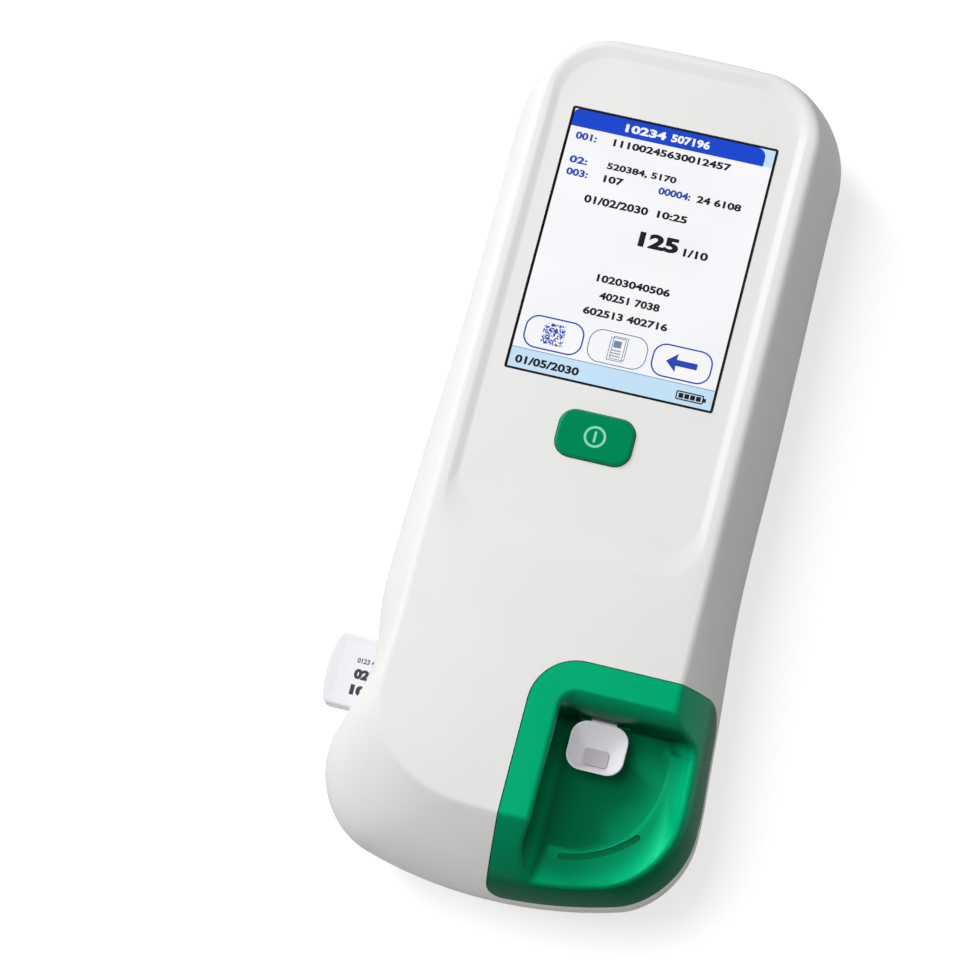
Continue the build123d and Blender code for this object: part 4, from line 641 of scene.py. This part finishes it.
class ANALYZER_OT_stage(Operator):
    """Make the floor, the soft lights and the camera"""

    bl_idname = "analyzer.stage"
    bl_label = "Stage"

    def execute(self, context):
        sizes = context.scene.analyzer_stage
        scene = context.scene
        scene.view_settings.view_transform = "Standard"

        mesh = bmesh.new()
        bmesh.ops.create_grid(mesh, x_segments=1, y_segments=1, size=FLOOR_HALF)
        data = bpy.data.meshes.new("floor")
        mesh.to_mesh(data)
        mesh.free()
        floor = bpy.data.objects.new("floor", data)
        scene.collection.objects.link(floor)
        # Pale paper sheet: a trace of its own light towards the camera keeps it near white
        material, tree, place = start_material("pale_paper_sheet")
        seen = add_node(tree, "ShaderNodeLightPath").outputs["Is Camera Ray"]
        glow = add_node(tree, "ShaderNodeMath", {"operation": "MULTIPLY", 1: FLOOR_GLOW}, {0: seen})
        shades = [shifted(sizes.floor, factor) for factor in FLOOR_SHADES]
        colour, _ = drifting(tree, place, shades, FLOOR_FIBRES)
        sheet = add_node(tree, "ShaderNodeBsdfDiffuse", {}, {"Color": colour})
        light = add_node(tree, "ShaderNodeEmission", {"Color": (1, 1, 1, 1)}, {"Strength": glow.outputs[0]})
        both = add_node(tree, "ShaderNodeAddShader", {}, {0: sheet.outputs[0], 1: light.outputs[0]})
        # The sheet is clear from below, so that the underside can be looked at
        below = add_node(tree, "ShaderNodeNewGeometry").outputs["Backfacing"]
        clear_sheet = add_node(tree, "ShaderNodeBsdfTransparent").outputs[0]
        sides = add_node(tree, "ShaderNodeMixShader", {}, {0: below, 1: both.outputs[0], 2: clear_sheet})
        add_node(tree, "ShaderNodeOutputMaterial", {}, {"Surface": sides.outputs[0]})
        paint(floor, material)

        world = bpy.data.worlds.new("studio")
        scene.world = world
        world.use_nodes = True
        tree = world.node_tree
        tree.nodes.clear()
        path = add_node(tree, "ShaderNodeLightPath")
        links = {0: path.outputs["Is Camera Ray"], 1: path.outputs["Is Transmission Ray"]}
        near = add_node(tree, "ShaderNodeMath", {"operation": "MAXIMUM"}, links)
        # Shines meet a dimmer room than the even light
        ends = dict(zip(RANGE, (0.0, 1.0, sizes.sky, sizes.sky * SHINE_SHARE)))
        dimmed = add_node(tree, "ShaderNodeMapRange", ends, {"Value": path.outputs["Is Glossy Ray"]})
        links = {"Value": near.outputs[0], "To Min": dimmed.outputs[0]}
        strength = add_node(tree, "ShaderNodeMapRange", {"To Max": 1.0}, links)
        links = {"Strength": strength.outputs[0]}
        sky = add_node(tree, "ShaderNodeBackground", {"Color": (1, 1, 1, 1)}, links)
        add_node(tree, "ShaderNodeOutputWorld", {}, {"Surface": sky.outputs[0]})

        for name, (spot, width, glossy) in LAMPS.items():
            lamp = bpy.data.lights.new(name, "AREA")
            lamp.energy = getattr(sizes, name)
            lamp.size = width
            holder = bpy.data.objects.new(name, lamp)
            holder.location = spot
            holder.rotation_euler = (-Vector(spot)).to_track_quat("-Z", "Y").to_euler()
            holder.visible_glossy = glossy
            scene.collection.objects.link(holder)

        camera = bpy.data.cameras.new("camera")
        camera.lens = sizes.lens
        camera.sensor_width = CAMERA_SENSOR
        back = CAMERA_RIGHT.cross(CAMERA_UP).normalized()
        up = back.cross(CAMERA_RIGHT).normalized()
        turn = Matrix((CAMERA_RIGHT.normalized(), up, back)).transposed().to_4x4()
        turn.translation = CAMERA_SPOT
        holder = bpy.data.objects.new("camera", camera)
        holder.matrix_world = turn
        scene.collection.objects.link(holder)
        scene.camera = holder
        return {"FINISHED"}


class ANALYZER_OT_housing(Operator):
    """Finish the white shells, the green piece and the button's cap"""

    bl_idname = "analyzer.housing"
    bl_label = "Housing"

    def execute(self, context):
        sizes = context.scene.analyzer_housing
        # PC and ABS blend from a spark-eroded tool: pale, satin, with a soft broad shine
        white = moulded(
            "white_pc_abs_satin", sizes.shell, roughness=0.42, grain=sizes.grain, contrast=0.012,
            settings={"Specular IOR Level": 0.35},
        )
        finish_skins(("top_cover", "bottom_cover", "battery_case"), white)
        # The same blend in green from a smoother tool: half gloss, with painted shade low in the pocket and a
        # painted highlight on faces turned to the lamps
        green = moulded(
            "green_pc_abs_semi_gloss", sizes.green, roughness=0.32, grain=0.3 * MM, bump=0.06, contrast=0.04,
            painted_shade_colour=sizes.painted_shade_colour, settings={"Specular IOR Level": 0.7, "Specular Tint": sizes.shine},
        )
        finish_skins(["application_cover"], green)
        # Darker green of the cap. Its skin lies one coat of print low, so that the sign stays in the CAD box.
        cap = moulded(
            "green_pc_abs_key_cap", sizes.button, roughness=0.26, grain=0.3 * MM, bump=0.06, contrast=0.04,
            settings={"Specular IOR Level": 0.4, "Specular Tint": sizes.shine},
        )
        piece = smoothed("power_button")
        for vert in piece.data.vertices:
            vert.co.z = min(vert.co.z, button_high[2] - PRINT_COAT)
        paint(piece, cap)
        return {"FINISHED"}


# Places on the touch glass, in millimetres from its top left corner: left, right, top and bottom.
# A plate may add a corner radius and the width of its line, and a number how much its strokes are thickened.
TITLE_BAR = (0.7, 56.0, 0.6, 5.8)
TITLE_CORNERS = (1.3, 2.6)
GROUND_PLATES = (((0.7, 58.5, 0.6, 78.2),),)
BAR_PLATES = (((52.5, 58.5, 0.6, 5.7),), ((0.7, 58.5, 72.5, 78.2),))
RULE_PLATES = (((0.7, 58.5, 72.3, 72.55),),)
TITLE_NUMBERS = (("10234", (15.9, 27.6, 2.0, 4.45)), ("507196", (29.1, 40.2, 2.0, 4.45)))
DARK_NUMBERS = (
    ("11100245630012457", (13.6, 47.5, 7.1, 9.35)),
    ("520384, 5170", (13.5, 33.5, 14.3, 16.6)),
    ("107", (13.5, 19.2, 18.1, 20.3)),
    ("24 6108", (40.3, 53.0, 18.1, 20.3)),
    ("01/02/2030", (9.6, 28.0, 24.8, 27.2)),
    ("10:25", (30.6, 39.2, 24.9, 27.1)),
    ("1/10", (40.4, 47.4, 34.1, 36.5)),
    ("10203040506", (18.8, 39.7, 46.7, 49.0)),
    ("40251 7038", (20.7, 37.9, 51.6, 53.9)),
    ("602513 402716", (17.3, 41.4, 56.6, 58.9)),
    ("01/05/2030", (2.4, 20.6, 74.5, 76.9)),
)
RESULT_PLACE = ((27.4, 38.8, 31.9, 36.4), 0.05)
BLUE_NUMBERS = (
    ("001:", (2.7, 8.8, 7.2, 9.4)),
    ("02:", (2.7, 7.9, 14.4, 16.6)),
    ("003:", (2.7, 8.9, 18.1, 20.3)),
    ("00004:", (29.3, 38.5, 18.1, 20.3)),
)
BLUE_FRAMES = (((2.8, 19.6, 62.0, 71.7), 3.8, 0.44), ((39.2, 56.2, 62.0, 71.7), 3.8, 0.44))
ARROW = ((43.2, 66.9), (46.3, 69.6), (46.1, 67.8), (52.1, 67.8), (52.1, 66.0), (46.1, 66.0), (46.3, 64.2))
PAGE_SIGN = (
    ((21.0, 37.8, 62.0, 71.7), 3.8, 0.3),
    ((27.6, 31.9, 63.2, 69.9), 0.3, 0.22),
    ((26.9, 31.3, 63.6, 70.4), 0.3, 0.22),
    ((28.0, 30.2, 64.5, 66.5),),
    *(((27.7, 30.5, y, y + 0.3),) for y in (67.2, 68.0, 68.8)),
)
BATTERY_SIGN = (
    ((48.2, 56.0, 74.4, 77.0), 0.4, 0.36),
    ((56.0, 56.7, 75.2, 76.3),),
    *(((x, x + 1.35, 75.0, 76.4),) for x in (48.95, 50.6, 52.25, 53.9)),
)
CODE_SQUARE = (8.0, 14.2, 63.7, 69.9)
CODE_CELL = 0.3 * MM


class ANALYZER_OT_display(Operator):
    """Make the touch glass and the lit picture on it"""

    bl_idname = "analyzer.display"
    bl_label = "Display"

    def execute(self, context):
        sizes = context.scene.analyzer_display
        left = window_low[0]
        top = window_high[1]

        def place(x0, x1, y0, y1):
            """Limits in the frame, from millimetres right of and below the glass's corner."""
            return left + x0 * MM, left + x1 * MM, top - y1 * MM, top - y0 * MM

        def level(number):
            """Height of a layer of the picture over the glass."""
            return window_high[2] + number * sizes.layer

        def layer(name, colour, number, plates=(), numbers=(), mesh=None):
            """One layer of the picture in one colour, on a mesh that may hold some of it already."""
            if mesh is None:
                mesh = bmesh.new()
            for box, *edge in plates:
                plate(mesh, place(*box), level(number), *(size * MM for size in edge))
            for text, box, *weight in numbers:
                digits(mesh, text, place(*box), level(number), *weight)
            material = lit("lit_" + name, colour, sizes.glow, sizes.pixel)
            new_piece("screen_" + name, mesh, "housing", material)

        # Printed glass: black ink behind a clear hard face
        border = moulded(
            "black_printed_touch_glass", sizes.border, roughness=0.12, grain=0.8 * MM, bump=0.01,
            contrast=0.1, settings={"Coat Weight": 0.6, "Coat Roughness": 0.05},
        )
        finish_skins(["display_window"], border)

        layer("ground", sizes.ground, 1, GROUND_PLATES)
        layer("bars", sizes.bar, 2, BAR_PLATES)
        layer("rule", shifted(sizes.dim, RULE_SHADE), 3, RULE_PLATES)

        # The title bar is rounded in its two upper corners, wider at the right
        title = bmesh.new()
        x0, x1, y0, y1 = place(*TITLE_BAR)
        face = flat_piece(title, ((x0, y0), (x1, y0), (x1, y1), (x0, y1)), level(4))
        upper = sorted((v for v in face.verts if v.co.y > (y0 + y1) / 2), key=lambda v: v.co.x)
        for corner, radius in zip(upper, TITLE_CORNERS):
            rounded(title, [corner], radius * MM)
        layer("title", sizes.title, 4, mesh=title)

        layer("title_numbers", sizes.ground, 5, numbers=TITLE_NUMBERS)
        layer("dark_numbers", sizes.ink, 5, numbers=(*DARK_NUMBERS, (sizes.result, *RESULT_PLACE)))
        layer("battery_sign", sizes.ink, 4, BATTERY_SIGN)
        layer("blue_numbers", sizes.blue, 5, numbers=BLUE_NUMBERS)
        arrow = bmesh.new()
        flat_piece(arrow, [(left + x * MM, top - y * MM) for x, y in ARROW], level(5))
        layer("blue_signs", sizes.blue, 5, BLUE_FRAMES, mesh=arrow)
        layer("dim_sign", sizes.dim, 5, PAGE_SIGN)

        mesh = bmesh.new()
        plate(mesh, place(*CODE_SQUARE), level(5))
        squares = code_grid("lit_code_grid", sizes.blue, sizes.ground, CODE_CELL, sizes.glow)
        new_piece("screen_code_grid", mesh, "housing", squares)
        return {"FINISHED"}


class ANALYZER_OT_button(Operator):
    """Print the sign on the power button"""

    bl_idname = "analyzer.button"
    bl_label = "Button sign"

    def execute(self, context):
        sizes = context.scene.analyzer_button
        x = (button_low[0] + button_high[0]) / 2
        y = (button_low[1] + button_high[1]) / 2
        z = button_high[2]
        mesh = bmesh.new()
        ring(mesh, (x, y), sizes.outer - sizes.line, sizes.outer, z)
        half = sizes.line / 2
        box = (x - half, x + half, y - sizes.bar / 2, y + sizes.bar / 2)
        plate(mesh, box, z, radius=half * BAR_ROUNDNESS)
        # Pad print: a thin ink with a soft shine and a slightly worn coat
        ink = moulded(
            "mint_pad_print_ink", sizes.sign, roughness=0.4, grain=0.2 * MM, bump=0.05, contrast=0.06
        )
        new_piece("power_sign", mesh, "button", ink)
        return {"FINISHED"}


class ANALYZER_OT_chip(Operator):
    """Finish the code chip and print its label"""

    bl_idname = "analyzer.chip"
    bl_label = "Code chip"

    def execute(self, context):
        sizes = context.scene.analyzer_chip
        # Polished white ABS: the key is glossier than the shells
        abs_white = moulded(
            "white_abs_glossy", linear("#E6E7EA"), roughness=0.26, grain=0.4 * MM, bump=0.05, contrast=0.015
        )
        finish_skins(["code_chip"], abs_white)
        # Coated label paper with faint fibres
        paper = fibrous(
            "coated_label_paper", shifted(sizes.paper, PAPER_SHADE), sizes.paper, fibre=0.3 * MM, bump=0.05
        )
        finish_nodes(["code_chip_label"], paper)
        # Ink of a label printer: flat, with a faint grain
        ink = moulded(
            "label_print_ink", sizes.print_ink, roughness=0.5, grain=0.15 * MM, bump=0.02, contrast=0.1
        )
        mesh = bmesh.new()
        x = label_low[0] + sizes.margin
        z = label_high[2] + LABEL_INK
        for text, drop, tall, wide, weight in LABEL_ROWS:
            y = label_high[1] - drop * MM
            digits(mesh, text, (x, x + wide * MM, y - tall * MM, y), z, weight)
        new_piece("chip_label_print", mesh, "chip", ink)
        return {"FINISHED"}


class ANALYZER_OT_strip(Operator):
    """Finish the test strip, its pad and its membrane"""

    bl_idname = "analyzer.strip"
    bl_label = "Test strip"

    def execute(self, context):
        sizes = context.scene.analyzer_strip
        # White polystyrene carrier: thin, slightly milky, satin
        carrier = moulded(
            "white_polystyrene_carrier", sizes.carrier, roughness=0.35, grain=0.3 * MM, bump=0.05,
            contrast=0.01, settings={"Subsurface Weight": 0.2, "Subsurface Scale": 0.4 * MM},
        )
        finish_skins(["test_strip"], carrier)
        # Glass-fibre fleece that takes the drop
        fleece = fibrous(
            "glass_fibre_sample_fleece", shifted(sizes.pad, FLEECE_SHADE), sizes.pad, fibre=0.25 * MM,
            bump=0.5,
        )
        finish_nodes(["sample_pad"], fleece)
        # Cast nitrocellulose: whiter and finer than the fleece
        membrane = fibrous(
            "nitrocellulose_membrane", linear("#E9E9E6"), linear("#F4F4F2"), fibre=0.1 * MM, bump=0.1
        )
        finish_nodes(["strip_membrane"], membrane)
        return {"FINISHED"}


class ANALYZER_OT_outside(Operator):
    """Finish the sockets, feet, windows, screws and contacts that show outside"""

    bl_idname = "analyzer.outside"
    bl_label = "Outer fittings"

    def execute(self, context):
        sizes = context.scene.analyzer_inside
        # Soft grey silicone rubber: dull, with dust in its grain
        rubber = moulded(
            "grey_silicone_rubber", linear("#55585A"), roughness=0.75, grain=0.25 * MM, bump=0.3,
            contrast=0.08,
        )
        finish_skins(["rubber_feet"], rubber)
        # Smoked polycarbonate that only infrared light passes: near black and glossy
        smoked = moulded(
            "smoked_infrared_window", linear("#16090E"), roughness=0.14, grain=0.6 * MM, bump=0.02,
            contrast=0.1, settings={"Coat Weight": 0.4, "Coat Roughness": 0.08},
        )
        finish_skins(("top_window", "infrared_transceiver"), smoked)
        # Black polyamide of sockets and plugs: even, fine matt
        black = moulded(
            "black_polyamide", sizes.plastic, roughness=0.5, grain=0.2 * MM, bump=0.15, contrast=0.06
        )
        finish_skins(("power_jack", "chip_socket", "battery_connector", "battery_lid"), black)
        # Zinc-plated screw steel with a bluish cast
        zinc = metal("zinc_plated_screw_steel", linear("#B9BEC6"), roughness=0.32, grain=0.3 * MM)
        finish_skins(("housing_screws", "board_screws", "guide_screws"), zinc)
        # Gilt copper alloy of springs, blades and pads: yellow, with fine lines from its rolling
        gilt = metal(
            "gilt_copper_alloy", sizes.gilt, roughness=0.24, grain=0.15 * MM, stretch=(1.0, 0.3, 1.0)
        )
        finish_skins(
            (
                "charging_contacts",
                "bay_contacts",
                "battery_terminals",
                "chip_socket_contacts",
                "code_chip_contacts",
            ),
            gilt,
        )
        return {"FINISHED"}


class ANALYZER_OT_electronics(Operator):
    """Finish the boards, cables, connectors and parts on the boards"""

    bl_idname = "analyzer.electronics"
    bl_label = "Electronics"

    def execute(self, context):
        sizes = context.scene.analyzer_inside
        # Glass-fibre epoxy boards under green solder mask: glossy, with paler tracks
        board = circuit("fr4_green_solder_mask", sizes.board, shifted(sizes.board, TRACK_SHADE))
        finish_nodes(("main_board", "measuring_board", "image_sensor_board"), board)
        # Polyimide flex: amber film with copper tracks
        flex = ribbon("polyimide_flex", linear("#8A4A12"), linear("#C27A33"), pitch=0.5 * MM)
        finish_skins(["display_cable"], flex)
        # Etched heater track in the same amber film
        foil = ribbon("etched_heater_foil", linear("#7A3F10"), linear("#B9672A"), pitch=1.1 * MM, axis="Y")
        finish_nodes(["heater_foil"], foil)
        # White polyester flat cable with grey conductors
        cable = ribbon("polyester_flat_cable", linear("#DADCDD"), linear("#A9ADB2"), pitch=1.0 * MM)
        finish_skins(["board_cable"], cable)
        # Ivory liquid-crystal polymer of the flex socket: dull and slightly mottled
        ivory = moulded("ivory_lcp_socket", linear("#D9D2BC"), roughness=0.45, grain=0.2 * MM, contrast=0.04)
        finish_skins(["display_connector"], ivory)
        # Black polyester of small parts: a little greyer and duller than the sockets
        matt = moulded(
            "black_pbt_parts", shifted(sizes.plastic, SMALL_PART_SHADE), roughness=0.55, grain=0.25 * MM,
            bump=0.15, contrast=0.08,
        )
        finish_skins(
            (
                "power_switch",
                "beeper",
                "clock_cell_holder",
                "scanner_engine",
                "strip_sensor",
                "switch_plunger",
            ),
            matt,
        )
        # Spring steel dome of the key, bright and thin
        dome = metal("stainless_spring_dome", linear("#C9CBCE"), roughness=0.22, grain=0.1 * MM)
        finish_skins(["switch_dome"], dome)
        # Tinned steel can, rolled lengthways
        tin = metal(
            "tinned_steel_can", linear("#C4C7C9"), roughness=0.3, grain=0.2 * MM, stretch=(0.2, 1.0, 1.0)
        )
        finish_nodes(["processor_shield"], tin)
        # Nickel-plated coin cell: warm grey, finely brushed
        nickel = metal(
            "nickel_plated_cell", linear("#CFCDC6"), roughness=0.26, grain=0.15 * MM, stretch=(1.0, 0.4, 1.0)
        )
        finish_skins(["clock_cell"], nickel)
        # Shrink sleeve over the cells: thin coloured film with a gloss
        sleeve = moulded(
            "pvc_shrink_sleeve", sizes.wrap, roughness=0.22, grain=0.5 * MM, bump=0.08, contrast=0.06,
            settings={"Coat Weight": 0.3, "Coat Roughness": 0.1},
        )
        finish_skins(["battery_cells"], sleeve)
        return {"FINISHED"}


class ANALYZER_OT_optics(Operator):
    """Finish the display's inner layers, the strip guide and the optics"""

    bl_idname = "analyzer.optics"
    bl_label = "Display layers and optics"

    def execute(self, context):
        sizes = context.scene.analyzer_inside
        # Closed-cell foam of the display's seal: dull and pitted
        foam = moulded(
            "black_foam_seal", linear("#141414"), roughness=0.85, grain=0.3 * MM, bump=0.5, contrast=0.2
        )
        finish_nodes(["display_gasket"], foam)
        # Glass of the panel over its dark cell: a mirror-like face on a dark ground
        panel = moulded(
            "panel_glass_over_dark_cell", linear("#20262C"), roughness=0.1, grain=1.0 * MM, bump=0.01,
            contrast=0.1, settings={"Coat Weight": 0.5, "Coat Roughness": 0.04},
        )
        finish_nodes(["lcd_panel"], panel)
        # Milky acrylic light guide: smooth and cool white
        milky = moulded(
            "milky_acrylic_light_guide", linear("#E4E8EC"), roughness=0.3, grain=0.6 * MM, bump=0.02
        )
        finish_nodes(["backlight_plate"], milky)
        # Stamped stainless tray, brushed along its length
        tray = metal(
            "brushed_stainless_tray", linear("#B5B7B8"), roughness=0.34, grain=0.2 * MM,
            stretch=(1.0, 0.1, 1.0),
        )
        finish_nodes(["lcd_frame"], tray)
        # Black glass-filled polycarbonate that keeps stray light out: dull, with a coarse grain
        dark = moulded(
            "black_glass_filled_pc", sizes.plastic, roughness=0.6, grain=0.18 * MM, bump=0.25, contrast=0.08
        )
        finish_skins(("strip_guide", "optics_housing"), dark)
        # Milled aluminium with fine cutter lines
        milled = metal(
            "milled_aluminium", linear("#C8CBCE"), roughness=0.36, grain=0.25 * MM, stretch=(0.15, 1.0, 1.0)
        )
        finish_nodes(["heater_plate"], milled)
        # Silvered glass: a clean mirror
        mirror = metal("silvered_glass", linear("#E8EAEC"), roughness=0.1, grain=0.5 * MM)
        finish_nodes(["optics_mirror"], mirror)
        # Optical acrylic: clear, with a trace of haze
        lens = clear("optical_acrylic", linear("#EEF4F8"), roughness=0.01, ior=1.49, haze_size=0.8 * MM)
        finish_skins(["optics_lens"], lens)
        # Silicon under the sensor's cover glass: a violet mirror
        silicon = metal("silicon_under_glass", linear("#3A3550"), roughness=0.16, grain=0.2 * MM)
        finish_nodes(["image_sensor"], silicon)
        # Phosphor-filled silicone of the small lamps: pale yellow and satin
        phosphor = moulded(
            "phosphor_silicone_lamp", linear("#E3D886"), roughness=0.4, grain=0.15 * MM, contrast=0.05
        )
        finish_skins(["illumination_leds"], phosphor)
        return {"FINISHED"}


class ANALYZER_PT_panel(Panel):
    """Steps of the analyzer's looks and their settings"""

    bl_idname = "ANALYZER_PT_panel"
    bl_label = "Analyzer"
    bl_space_type = "VIEW_3D"
    bl_region_type = "UI"
    bl_category = "Analyzer"

    def draw(self, context):
        for operator in operators:
            self.layout.operator(operator.bl_idname)
        for name, group in groups.items():
            box = self.layout.box()
            box.label(text=group.__name__)
            for setting in group.__annotations__:
                box.prop(getattr(context.scene, name), setting)


operators = (
    ANALYZER_OT_stage,
    ANALYZER_OT_housing,
    ANALYZER_OT_display,
    ANALYZER_OT_button,
    ANALYZER_OT_chip,
    ANALYZER_OT_strip,
    ANALYZER_OT_outside,
    ANALYZER_OT_electronics,
    ANALYZER_OT_optics,
)
groups = {
    "analyzer_stage": AnalyzerStage,
    "analyzer_housing": AnalyzerHousing,
    "analyzer_display": AnalyzerDisplay,
    "analyzer_button": AnalyzerButton,
    "analyzer_chip": AnalyzerChip,
    "analyzer_strip": AnalyzerStrip,
    "analyzer_inside": AnalyzerInside,
}


def register():
    """Register the classes and their settings."""
    for name, group in groups.items():
        bpy.utils.register_class(group)
        setattr(bpy.types.Scene, name, PointerProperty(type=group))
    for item in (*operators, ANALYZER_PT_panel):
        bpy.utils.register_class(item)


def unregister():
    """Take the classes and their settings out again."""
    for item in reversed((*operators, ANALYZER_PT_panel)):
        bpy.utils.unregister_class(item)
    for name, group in groups.items():
        delattr(bpy.types.Scene, name)
        bpy.utils.unregister_class(group)


def main():
    """Make every piece."""
    register()
    bpy.ops.analyzer.stage()
    bpy.ops.analyzer.housing()
    bpy.ops.analyzer.display()
    bpy.ops.analyzer.button()
    bpy.ops.analyzer.chip()
    bpy.ops.analyzer.strip()
    bpy.ops.analyzer.outside()
    bpy.ops.analyzer.electronics()
    bpy.ops.analyzer.optics()


if __name__ == "__main__":
    main()
